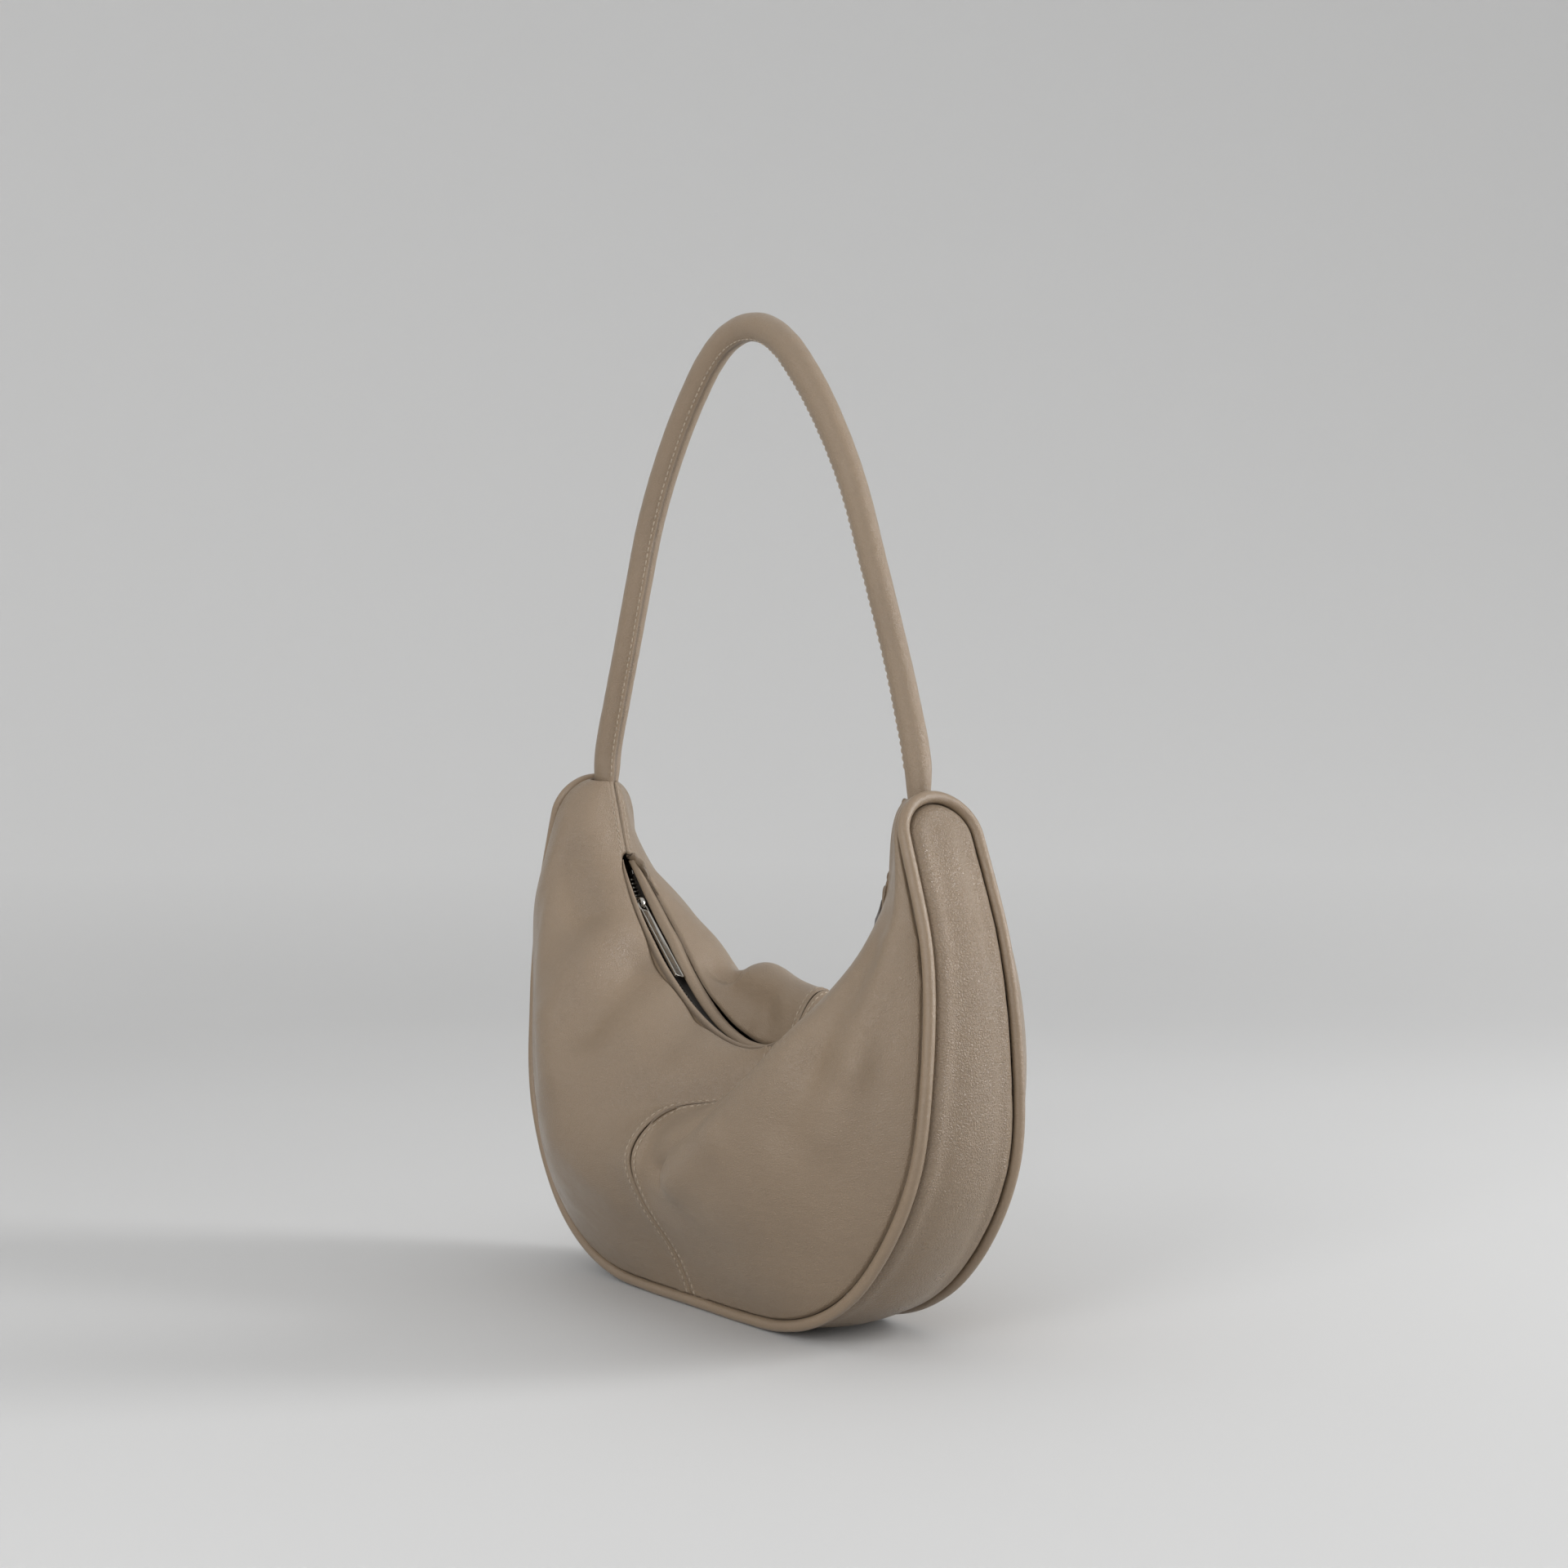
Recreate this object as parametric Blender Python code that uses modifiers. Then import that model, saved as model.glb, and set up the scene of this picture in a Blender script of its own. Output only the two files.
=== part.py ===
"""Crescent shoulder bag in soft leather, standing on its base with its rolled handle up.

X runs along the bag, the front faces -Y and Z is up. The origin is on the floor under the middle of
the base. Two bulging panels, each in two halves, are sewn to one long gusset band with piping in the
seams. A curved zip in the concave top runs on an arc about one axis, so its slider travels by turning
about that axis. Lengths are in metres.
"""

import math

import bmesh
import bpy
import numpy as np

MM = 0.001

# Clearances
GAP = 0.3 * MM
PANEL_EDGE_GAP = 0.45 * MM
HORN_SEAM_GAP = 0.8 * MM
CUT_OVERRUN = 1.0 * MM

# Body outline, along the centre of the piping
BODY_HALF_LENGTH = 161.7 * MM
BODY_HEIGHT = 239.5 * MM
GUSSET_HALF_WIDTH = 28.5 * MM
TONGUE_ROUND_LENGTH = 18.0 * MM
TONGUE_TIP_EASE = 1.0 * MM
OUTLINE_SHARES = (
    (0.0, 0.0),
    (0.250, 0.0),
    (0.414, 0.006),
    (0.520, 0.022),
    (0.705, 0.084),
    (0.863, 0.194),
    (0.971, 0.334),
    (1.0, 0.516),
    (0.976, 0.710),
    (0.903, 0.875),
    (0.834, 1.0),
)
GUSSET_WIDTH_SHARES = (
    (0.0, 1.0),
    (0.20, 0.97),
    (0.37, 0.91),
    (0.54, 0.82),
    (0.70, 0.73),
    (0.86, 0.69),
    (1.0, 0.66),
)

# Leather and piping
LEATHER = 1.3 * MM
LINING = 0.5 * MM
LINING_EASE = 0.6 * MM
PIPING_RADIUS = 2.8 * MM
GUSSET_SIDE_CROWN = 5.0 * MM
GUSSET_BASE_CROWN = 3.6 * MM
GUSSET_CROWN_RISE_SHARE = 0.25

# Zip arc: the tape lies on a cylinder about the axis through ZIP_AXIS_HEIGHT
ZIP_AXIS_RISE = 1.5 * MM
ZIP_AXIS_HEIGHT = BODY_HEIGHT + ZIP_AXIS_RISE
ZIP_RADIUS = 116.8 * MM
ZIP_OPENING_END = math.radians(70.0)
ZIP_OPENING_SQUARENESS = 20
ZIP_OPENING_CLOSES_SHARE = 0.85
TAPE_END = math.radians(66.5)
TEETH_END = math.radians(64.8)
FACING_END = math.radians(66.0)
LIP_HEIGHT = 5.0 * MM
LIP_HALF_WIDTH = 8.8 * MM
# Heights of the front and back lips as shares of LIP_HEIGHT, at shares of the opening's end angle: high
# by the left horn, and sagging from the middle on
LIP_HEIGHT_SHARES = (
    (-1.0, 1.0, 1.0),
    (-0.87, 1.7, 1.0),
    (-0.78, 1.9, 1.4),
    (-0.60, 1.9, 1.6),
    (-0.39, 1.25, 0.9),
    (-0.20, 0.7, 0.58),
    (-0.06, 0.55, 0.52),
    (0.12, 0.5, 0.5),
    (0.50, 0.5, 0.5),
    (0.85, 0.5, 0.5),
    (1.0, 0.7, 0.7),
)

# Zip tape, teeth and stops
TAPE_THICKNESS = 0.7 * MM
TAPE_OUTER = 9.6 * MM
RAIL_INNER = 1.2 * MM
RAIL_OUTER = 2.2 * MM
RAIL_THICKNESS = 1.8 * MM
TOOTH_REACH = 2.0 * MM
TOOTH_PITCH = 5.6 * MM
TOOTH_LENGTH_SHARE = 0.38
FRONT_TOOTH_SHARE = 0.25
BACK_TOOTH_SHARE = 0.75
STOP_LENGTH = 2.4 * MM
STOP_THICKNESS = 2.8 * MM
PARTING = 2.1 * MM

# Slider
SLIDER_REST = math.radians(-55.8)
SLIDER_HALF_LENGTH = 5.5 * MM
SLIDER_HALF_WIDTH = 5.3 * MM
SLIDER_TAIL_HALF_WIDTH = 3.6 * MM
SLIDER_PLATE = 1.0 * MM
CHANNEL_HALF_HEIGHT = 1.3 * MM
FLANGE_WALL = 0.7 * MM
FLANGE_SLOT_HALF_HEIGHT = 0.65 * MM
POST_HALF_WIDTH = 1.0 * MM
POST_TIP_HALF_WIDTH = 0.3 * MM
POST_LENGTH = 4.0 * MM
CROWN_HALF_WIDTH = 1.25 * MM
CROWN_HALF_LENGTH = 3.6 * MM
CROWN_HEIGHT = 5.7 * MM
CROWN_WALL = 1.2 * MM
CROWN_SHOULDER_SHARE = 0.83
CROWN_CREST_SHARE = 0.42
PLATE_SINK = 0.2 * MM

# Puller
PIVOT_HEIGHT = 5.2 * MM
PULLER_LENGTH = 49.0 * MM
PULLER_WIDTH = 6.0 * MM
PULLER_THICKNESS = 1.6 * MM
PULLER_CORNER = 1.4 * MM
PULLER_LIFT = math.radians(12.0)
EYE_LENGTH = 5.3 * MM
EYE_SIDE_CLEARANCE = 0.4 * MM
EYE_BAR_RADIUS = 0.75 * MM

# Facings beside the zip
FACING_THICKNESS = 1.2 * MM
FACING_INNER = 5.9 * MM
FACING_HEEL = 7.3 * MM
FACING_LIP = 7.7 * MM

# Handle
HANDLE_ROOT_X = 122.9 * MM
HANDLE_PIVOT_RISE = 13.0 * MM
HANDLE_PIVOT_HEIGHT = BODY_HEIGHT + HANDLE_PIVOT_RISE
HANDLE_RISE = 197.0 * MM
HANDLE_RADIUS = 6.25 * MM
HANDLE_WALL = 1.3 * MM
HANDLE_SEAM_FIN = 1.9 * MM
HANDLE_SEAM_EDGE = math.radians(14.0)
HANDLE_END_ANGLE = math.radians(11.0)
TAB_RADIUS = 5.9 * MM
TAB_DEPTH = 31.0 * MM
TAB_FOOT_HALF_THICKNESS = 2.4 * MM
TAB_LEAN = 5.0 * MM
HANDLE_SHARES = (
    (0.0, 1.0),
    (0.130, 0.985),
    (0.252, 0.939),
    (0.354, 0.876),
    (0.541, 0.723),
    (0.675, 0.571),
    (0.766, 0.419),
    (0.846, 0.277),
    (0.928, 0.135),
    (1.0, 0.0),
)

# Panel bulge: each row holds a place along the panel, from its middle to the horn, the depths of the
# section's two inner control points and how far each lies from the piping towards the lip
PANEL_DEPTH = 108.0 * MM
PANEL_BULGE_SHARES = (
    (0.0, 0.43, 0.93, 0.33, 0.62),
    (0.12, 0.49, 0.99, 0.32, 0.66),
    (0.25, 0.56, 1.0, 0.30, 0.72),
    (0.50, 0.56, 0.83, 0.28, 0.84),
    (0.70, 0.48, 0.60, 0.28, 0.94),
    (0.85, 0.33, 0.39, 0.28, 1.0),
    (0.95, 0.235, 0.23, 0.22, 1.0),
    (1.0, 0.115, 0.105, 0.12, 1.0),
)
# How a panel departs from the even bulge: a place along it, then how far each of five points of its
# section, from the piping to the lip, stands outwards and upwards, as shares of the panel's depth
PANEL_SLOUCH_SHARES = {
    ("front", "left"): (
        (0.0, -0.007, 0.022, 0.014, 0.051, 0.009, 0.088, -0.134, 0.065, -0.13, 0.019),
        (0.05, -0.005, 0.009, 0.009, 0.028, 0.009, 0.046, -0.083, 0.037, -0.102, 0),
        (0.12, 0, 0, 0, 0, 0, 0, -0.037, -0.009, -0.056, -0.019),
        (0.28, 0, 0, 0, 0, 0, 0, 0, 0, 0, 0),
        (0.36, -0.037, 0, -0.056, 0, -0.037, 0, 0, 0, 0, 0.009),
        (0.44, -0.074, 0, -0.102, 0, -0.083, 0, -0.009, 0, 0, 0.019),
        (0.52, -0.093, 0, -0.12, 0, -0.102, 0, -0.019, 0, 0, 0.028),
        (0.6, -0.093, 0, -0.12, 0, -0.093, 0, -0.019, 0, 0, 0.019),
        (0.7, -0.074, 0, -0.093, 0, -0.065, 0, -0.009, 0, 0, 0.009),
        (0.8, -0.019, 0, -0.028, 0, -0.009, 0, 0, 0, 0, 0),
        (1.0, 0, 0, 0, 0, 0, 0, 0, 0, 0, 0),
    ),
    ("front", "right"): (
        (0.0, -0.007, 0.022, 0.014, 0.051, 0.009, 0.088, -0.134, 0.065, -0.13, 0.019),
        (0.035, 0, 0.019, 0.009, 0.028, -0.019, 0.019, -0.111, -0.028, -0.102, -0.009),
        (0.07, 0, 0, 0, 0, -0.009, 0.009, -0.093, -0.028, -0.093, -0.019),
        (0.12, 0, 0, 0, 0, 0.019, 0.009, -0.074, -0.037, -0.083, -0.037),
        (0.2, 0, 0, 0, 0, 0.009, 0.009, -0.028, -0.028, -0.056, -0.074),
        (0.28, 0, 0, 0, 0, 0, 0, 0, -0.037, -0.037, -0.102),
        (0.36, 0, 0, 0, 0, 0, 0, 0, -0.019, -0.028, -0.111),
        (0.44, 0, 0, 0, 0, 0, 0, -0.009, -0.046, -0.028, -0.12),
        (0.52, 0, 0, 0, 0, 0, -0.009, -0.028, -0.065, -0.037, -0.111),
        (0.6, 0, 0, 0, 0, -0.037, -0.019, -0.093, -0.074, -0.074, -0.074),
        (0.7, -0.028, 0, -0.074, -0.019, -0.139, -0.037, -0.176, -0.037, -0.093, -0.028),
        (0.8, -0.019, 0, -0.111, 0, -0.176, 0, -0.167, 0, -0.074, 0),
        (0.9, -0.019, 0, -0.083, 0, -0.111, 0, -0.093, 0, -0.046, 0),
        (0.95, 0, 0, -0.028, 0, -0.037, 0, -0.028, 0, -0.009, 0),
        (1.0, 0, 0, 0, 0, 0, 0, 0, 0, 0, 0),
    ),
    ("back", "left"): (
        (0.0, 0, 0, 0, 0.037, 0, 0.13, -0.028, 0.231, -0.102, 0.241),
        (0.12, 0, 0, 0, 0.037, 0, 0.111, -0.028, 0.213, -0.111, 0.222),
        (0.27, 0, 0, 0, 0.019, 0, 0.056, -0.019, 0.12, -0.074, 0.157),
        (0.36, 0, 0, 0, 0.009, 0, 0.028, -0.019, 0.074, -0.065, 0.111),
        (0.5, 0, 0, 0, 0, 0, 0.019, 0, 0.056, -0.028, 0.111),
        (0.72, 0, 0, 0, 0, 0, 0, 0, 0.009, 0, 0.028),
        (1.0, 0, 0, 0, 0, 0, 0, 0, 0, 0, 0),
    ),
    ("back", "right"): (
        (0.0, 0, 0, 0, 0.037, 0, 0.13, -0.028, 0.231, -0.102, 0.241),
        (0.12, 0, 0, 0, 0.037, 0, 0.102, -0.028, 0.167, -0.083, 0.157),
        (0.27, 0, 0, 0, 0.009, 0, 0.037, -0.019, 0.074, -0.056, 0.074),
        (0.5, 0, 0, 0, 0, 0, 0, 0, 0, -0.028, 0),
        (0.72, 0, 0, 0, 0, 0, 0, -0.028, 0, -0.037, 0),
        (1.0, 0, 0, 0, 0, 0, 0, 0, 0, 0, 0),
    ),
}
SECTION_POINTS = 7
PANEL_LEAVING_ANGLE = math.radians(32.0)
HORN_TOP_X = 117.0 * MM
HORN_TOP_DROP = 1.5 * MM
HORN_TOP_HEIGHT = BODY_HEIGHT - HORN_TOP_DROP

# Mesh divisions
PANEL_STATIONS = 10
PANEL_CLOSING_STATIONS = 4
PANEL_HORN_STATIONS = 3
PANEL_ROWS = 9
BAND_STATIONS = 20
BAND_TIP_STATIONS = 5
BAND_ROWS = 7
BAND_END_ANGLE = math.radians(80.0)
LINING_ROWS = 4
LINING_END_ANGLE = math.radians(40.0)
FULL_TIP_ANGLE = math.radians(90.0)
ZIP_STATIONS = 30
PARTING_STATIONS = 9
HANDLE_STATIONS = 28
HANDLE_END_STATIONS = 4
HANDLE_SIDES = 10
TAB_STATIONS = 6
TAB_SIDES = 12
BAR_SIDES = 12
LIP_SAMPLES = 60
SEAM_SAMPLES = 13
CURVE_SAMPLES = 801
SHARP_EDGE = math.radians(40.0)


def clear_scene():
    for obj in list(bpy.data.objects):
        bpy.data.objects.remove(obj, do_unlink=True)


def new_collection(name):
    collection = bpy.data.collections.new(name)
    bpy.context.scene.collection.children.link(collection)
    return collection


def new_material(name, colour, roughness, metallic=0.0):
    material = bpy.data.materials.new(name)
    material.use_nodes = True
    shader = material.node_tree.nodes["Principled BSDF"]
    shader.inputs["Base Color"].default_value = (*colour, 1.0)
    shader.inputs["Roughness"].default_value = roughness
    shader.inputs["Metallic"].default_value = metallic
    return material


# Curves and frames


def smooth_path(points, samples):
    """A smooth curve through the points: cubic between them, in steps of chord length."""
    points = np.asarray(points, float)
    chord = np.concatenate([[0.0], np.cumsum(np.linalg.norm(np.diff(points, axis=0), axis=1))])
    slopes = np.gradient(points, chord, axis=0, edge_order=2)
    fine = np.linspace(0.0, chord[-1], samples)
    i = np.clip(np.searchsorted(chord, fine, side="right") - 1, 0, len(chord) - 2)
    span = (chord[i + 1] - chord[i])[:, None]
    u = (fine - chord[i])[:, None] / span
    start = (2 * u**3 - 3 * u**2 + 1) * points[i] + (u**3 - 2 * u**2 + u) * span * slopes[i]
    end = (3 * u**2 - 2 * u**3) * points[i + 1] + (u**3 - u**2) * span * slopes[i + 1]
    return start + end


def mirrored(half):
    """The points of a whole symmetric curve, from its -X end to its +X end."""
    half = np.asarray(half, float)
    return np.concatenate([(half * (-1, 1))[:0:-1], half])


def by_length(curve):
    """The distance along a fine curve, and its whole length."""
    steps = np.linalg.norm(np.diff(curve, axis=0), axis=1)
    along = np.concatenate([[0.0], np.cumsum(steps)])
    return along, along[-1]


def at(along, curve, distance):
    return np.stack([np.interp(distance, along, curve[:, k]) for k in range(curve.shape[1])], axis=-1)


def table(rows, place):
    """A smooth value between the rows of a table of shares."""
    rows = np.asarray(rows, float)
    fine = smooth_path(rows, CURVE_SAMPLES)
    return np.stack([np.interp(place, fine[:, 0], fine[:, k]) for k in range(1, rows.shape[1])], axis=-1)


def surface_normals(grid):
    """Unit normals of an (n, m, 3) grid of points."""
    along = np.gradient(grid, axis=0)
    across = np.gradient(grid, axis=1)
    normal = np.cross(along, across)
    return normal / np.linalg.norm(normal, axis=-1, keepdims=True)


# The body outline and the gusset's width


def outline_curve():
    base = PIPING_RADIUS + GAP
    rise = BODY_HEIGHT - base
    half = [(x * BODY_HALF_LENGTH, base + z * rise) for x, z in OUTLINE_SHARES]
    return smooth_path(mirrored(half), CURVE_SAMPLES)


TANGENT_STEP_SHARE = 0.001
OUTLINE = outline_curve()
OUTLINE_ALONG, OUTLINE_LENGTH = by_length(OUTLINE)
HALF_OUTLINE = OUTLINE_LENGTH / 2


def outline_at(place):
    """The (x, z) point of the outline at a place from -1, the left horn, to 1, the right horn."""
    return at(OUTLINE_ALONG, OUTLINE, HALF_OUTLINE * (1 + np.asarray(place, float)))


def outward_at(place):
    """The outline's unit normal in the XZ plane, away from the bag."""
    place = np.asarray(place, float)
    ahead = outline_at(np.clip(place + TANGENT_STEP_SHARE, -1, 1))
    behind = outline_at(np.clip(place - TANGENT_STEP_SHARE, -1, 1))
    tangent = ahead - behind
    tangent /= np.linalg.norm(tangent, axis=-1, keepdims=True)
    return np.stack([tangent[..., 1], -tangent[..., 0]], axis=-1)


def full_half_width(place):
    base = PIPING_RADIUS + GAP
    share = (outline_at(place)[..., 1] - base) / (BODY_HEIGHT - base)
    return GUSSET_HALF_WIDTH * table(GUSSET_WIDTH_SHARES, share)[..., 0]


def band_stations(inset, last_angle, straight_stations, tip_stations):
    """Places along half the band, and the half width there, for a band inset from the piping's
    centre. The end is rounded like a tongue, and last_angle stops it short of its tip."""
    ease = TONGUE_TIP_EASE if inset else 0.0
    round_start = 1 - TONGUE_ROUND_LENGTH / HALF_OUTLINE
    round_end = 1 - (inset + ease) / HALF_OUTLINE
    straight = np.linspace(0.0, round_start, straight_stations)
    angle = np.linspace(0.0, last_angle, tip_stations + 1)[1:]
    tip = round_start + (round_end - round_start) * np.sin(angle)
    place = np.concatenate([straight, tip])
    angle = np.concatenate([np.zeros(straight_stations), angle])
    return place, (full_half_width(place) - inset - ease * np.sin(angle)) * np.cos(angle)


def tongue_roundness(place):
    """How far round the tongue's end a place is: 0 along the sides, 1 at the tip."""
    round_start = 1 - TONGUE_ROUND_LENGTH / HALF_OUTLINE
    return np.clip((np.abs(place) - round_start) / (1 - round_start), 0, 1)


def piping_half_width(place):
    """Half the width between the two pipings at any place."""
    return full_half_width(place) * np.sqrt(1 - tongue_roundness(place) ** 2)


# The zip's arc, and the line of the lip and horn seam


def zip_point(angle, y, height):
    """A point beside the zip: angle from straight below the axis, y, and height above the tape."""
    radius = ZIP_RADIUS - height
    x = radius * np.sin(angle)
    z = ZIP_AXIS_HEIGHT - radius * np.cos(angle)
    return np.stack(np.broadcast_arrays(x, y, z), axis=-1)


def opening_share(angle):
    """How open the zip's slit is, from 1 in the middle to 0 where it closes at each end."""
    share = np.clip(np.abs(angle) / ZIP_OPENING_END, 0, 1)
    return np.sqrt(1 - share**ZIP_OPENING_SQUARENESS)


def parting(angle):
    """How far each row of teeth stands from its meshed place: apart inside the slider and ahead of it."""
    behind = SLIDER_REST + SLIDER_HALF_LENGTH / ZIP_RADIUS
    ahead = SLIDER_REST - (SLIDER_HALF_LENGTH - POST_LENGTH / 2) / ZIP_RADIUS
    share = np.clip((behind - angle) / (behind - ahead), 0, 1)
    return PARTING * share**2 * (3 - 2 * share)


def lip_height(side, angle):
    """How far the front or back lip stands above the arc."""
    column = 0 if side == "front" else 1
    return LIP_HEIGHT * table(LIP_HEIGHT_SHARES, np.asarray(angle) / ZIP_OPENING_END)[..., column]


def lip_line(heights):
    """A panel's top edge for +X: along the zip's lip at its heights, then up the horn seam."""
    angle = np.linspace(0.0, ZIP_OPENING_END, LIP_SAMPLES)
    y = -(HORN_SEAM_GAP / 2 + (LIP_HALF_WIDTH + GAP) * opening_share(angle))
    lip = zip_point(angle, y, heights)
    share = np.linspace(0.0, 1.0, SEAM_SAMPLES)[1:, None]
    top = np.array([HORN_TOP_X, -HORN_SEAM_GAP / 2, HORN_TOP_HEIGHT])
    tangent = np.array([math.cos(ZIP_OPENING_END), 0.0, math.sin(ZIP_OPENING_END)])
    reach = np.linalg.norm(top - lip[-1])
    control = lip[-1] + tangent * reach / 2
    seam = (1 - share) ** 2 * lip[-1] + 2 * share * (1 - share) * control + share**2 * top
    return np.concatenate([lip, seam])


EVEN_LIP = lip_line(LIP_HEIGHT)
LIP_END_PLACE = (ZIP_RADIUS - LIP_HEIGHT) * ZIP_OPENING_END / by_length(EVEN_LIP)[1]


def lip_at(lip, places):
    """The lip's point at each place. The slit closes at the same place on every panel."""
    along, length = by_length(lip)
    marks = (0.0, along[LIP_SAMPLES - 1], length)
    return at(along, lip, np.interp(places, (0.0, LIP_END_PLACE, 1.0), marks))


# The panels


def spline_weights(shares):
    """Weights of a section's points at shares of its run: a smooth curve through all of them."""
    points = np.column_stack([np.arange(SECTION_POINTS), np.eye(SECTION_POINTS)])
    fine = smooth_path(points, CURVE_SAMPLES)
    run = np.asarray(shares) * (SECTION_POINTS - 1)
    return np.stack([np.interp(run, fine[:, 0], fine[:, k + 1]) for k in range(SECTION_POINTS)], axis=-1)


def panel_surface(side, end, places, shares):
    """Half a panel's outer surface: sections from the piping to the lip through five points, which
    lie on an even bulge and are moved by the slouch table."""
    to_right = 1 if end == "right" else -1
    angle = np.linspace(0.0, ZIP_OPENING_END, LIP_SAMPLES)
    lip = lip_line(lip_height(side, angle * to_right))
    base = outline_at(places)
    outward = outward_at(places)
    half_width = piping_half_width(places)
    leave = PIPING_RADIUS + PANEL_EDGE_GAP
    inward = leave * math.cos(PANEL_LEAVING_ANGLE)
    forward = leave * math.sin(PANEL_LEAVING_ANGLE)
    round_tip = tongue_roundness(places)
    beyond = forward * round_tip
    start = np.stack(
        [
            base[:, 0] - outward[:, 0] * inward - outward[:, 1] * beyond,
            -np.maximum(half_width + forward * np.sqrt(1 - round_tip**2), HORN_SEAM_GAP / 2),
            base[:, 1] - outward[:, 1] * inward + outward[:, 0] * beyond,
        ],
        axis=-1,
    )[:, None]
    even = lip_at(EVEN_LIP, places)[:, None]
    depth_1, depth_2, reach_1, reach_2 = table(PANEL_BULGE_SHARES, places).T[:, :, None]
    t = np.linspace(0.0, 1.0, SECTION_POINTS)[None, 1:-1]
    near, far = 3 * (1 - t) ** 2 * t, 3 * (1 - t) * t**2
    points = start + (even - start) * (near * reach_1 + far * reach_2 + t**3)[..., None]
    ends = (1 - t) ** 3 * start[..., 1] + t**3 * even[..., 1]
    slouch = PANEL_DEPTH * table(PANEL_SLOUCH_SHARES[side, end], places)
    points[..., 1] = ends - PANEL_DEPTH * (near * depth_1 + far * depth_2) - slouch[:, 0::2]
    points[..., 2] += slouch[:, 1::2]
    section = np.concatenate([start, points, lip_at(lip, places)[:, None]], axis=1)
    grid = np.einsum("sk,pkc->psc", spline_weights(shares), section)
    return grid * (to_right, 1 if side == "front" else -1, 1)


def panel_places():
    """Places along a half panel, closer together where the slit closes and at the horn's tip."""
    closing = LIP_END_PLACE * ZIP_OPENING_CLOSES_SHARE
    tip = band_stations(0.0, FULL_TIP_ANGLE, 1, BAND_TIP_STATIONS)[0][1:]
    horn = 1 - TONGUE_ROUND_LENGTH / HALF_OUTLINE
    return np.concatenate(
        [
            np.linspace(0.0, closing, PANEL_STATIONS),
            np.linspace(closing, LIP_END_PLACE, PANEL_CLOSING_STATIONS + 1)[1:],
            np.linspace(LIP_END_PLACE, horn, PANEL_HORN_STATIONS + 1)[1:],
            tip,
        ]
    )


def half_panel(side, end):
    return panel_surface(side, end, panel_places(), np.linspace(0.0, 1.0, PANEL_ROWS))


def half_lining(side, end):
    """Half a lining: the panel's surface moved inwards, short of its edges and of the horn."""
    grid = half_panel(side, end)
    normals = surface_normals(grid)
    facing = -1 if side == "front" else 1
    middle = normals[PANEL_STATIONS // 2, PANEL_ROWS // 2, 1]
    grid = grid - normals * np.sign(middle * facing) * (LEATHER + LINING_EASE)
    grid[0, :, 0] = 0.0
    return grid[:-BAND_TIP_STATIONS, 1:-1]


# Mesh makers


def link_mesh(name, mesh, collection, material):
    obj = bpy.data.objects.new(name, mesh)
    collection.objects.link(obj)
    if material is not None:
        mesh.materials.append(material)
    return obj


def mesh_of(name, points, faces):
    mesh = bpy.data.meshes.new(name)
    mesh.from_pydata([tuple(p) for p in points], [], faces)
    mesh.update()
    return mesh


def face_outwards(mesh):
    work = bmesh.new()
    work.from_mesh(mesh)
    bmesh.ops.recalc_face_normals(work, faces=work.faces)
    work.to_mesh(mesh)
    work.free()


def smooth(mesh):
    mesh.shade_smooth()
    mesh.set_sharp_from_angle(angle=SHARP_EDGE)


def sheet(name, grid, thickness, collection, material, outward, mirrored_in_x=False):
    """An open surface given thickness on its inner side. outward is a direction that its middle
    should face. A grid mirrored about its middle row has its diagonals mirrored too, so that it
    nests inside pieces made from half the grid."""
    rows, columns = grid.shape[:2]
    index = np.arange(rows * columns).reshape(rows, columns)
    a, b, c, d = index[:-1, :-1], index[1:, :-1], index[1:, 1:], index[:-1, 1:]
    triangles = np.stack([np.stack([a, b, c], axis=-1), np.stack([a, c, d], axis=-1)], axis=2)
    if mirrored_in_x:
        middle = rows // 2
        flipped = np.stack([np.stack([a, b, d], axis=-1), np.stack([b, c, d], axis=-1)], axis=2)
        triangles[:middle] = flipped[:middle]
    row, column = rows // 2, columns // 2
    along = grid[row, column] - grid[row - 1, column]
    across = grid[row, column] - grid[row, column - 1]
    if np.dot(np.cross(along, across), outward) < 0:
        triangles = triangles[..., ::-1]
    mesh = mesh_of(name, grid.reshape(-1, 3), triangles.reshape(-1, 3).tolist())
    smooth(mesh)
    obj = link_mesh(name, mesh, collection, material)
    solidify = obj.modifiers.new("thickness", "SOLIDIFY")
    solidify.thickness = thickness
    solidify.offset = -1.0
    return obj


def loft_mesh(name, rings, looped=False):
    """A closed solid through rings of points: capped at both ends, or joined end to end."""
    rings = np.asarray(rings, float)
    count, sides = rings.shape[:2]
    index = np.arange(count * sides).reshape(count, sides)
    following = np.concatenate([index[1:], index[:1]]) if looped else index[1:]
    this = index if looped else index[:-1]
    quads = np.stack(
        [this, np.roll(this, -1, axis=1), np.roll(following, -1, axis=1), following], axis=-1
    )
    faces = quads.reshape(-1, 4).tolist()
    if not looped:
        faces += [index[0, ::-1].tolist(), index[-1].tolist()]
    mesh = mesh_of(name, rings.reshape(-1, 3), faces)
    face_outwards(mesh)
    return mesh


def loft(name, rings, collection, material, looped=False):
    mesh = loft_mesh(name, rings, looped)
    smooth(mesh)
    return link_mesh(name, mesh, collection, material)


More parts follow.
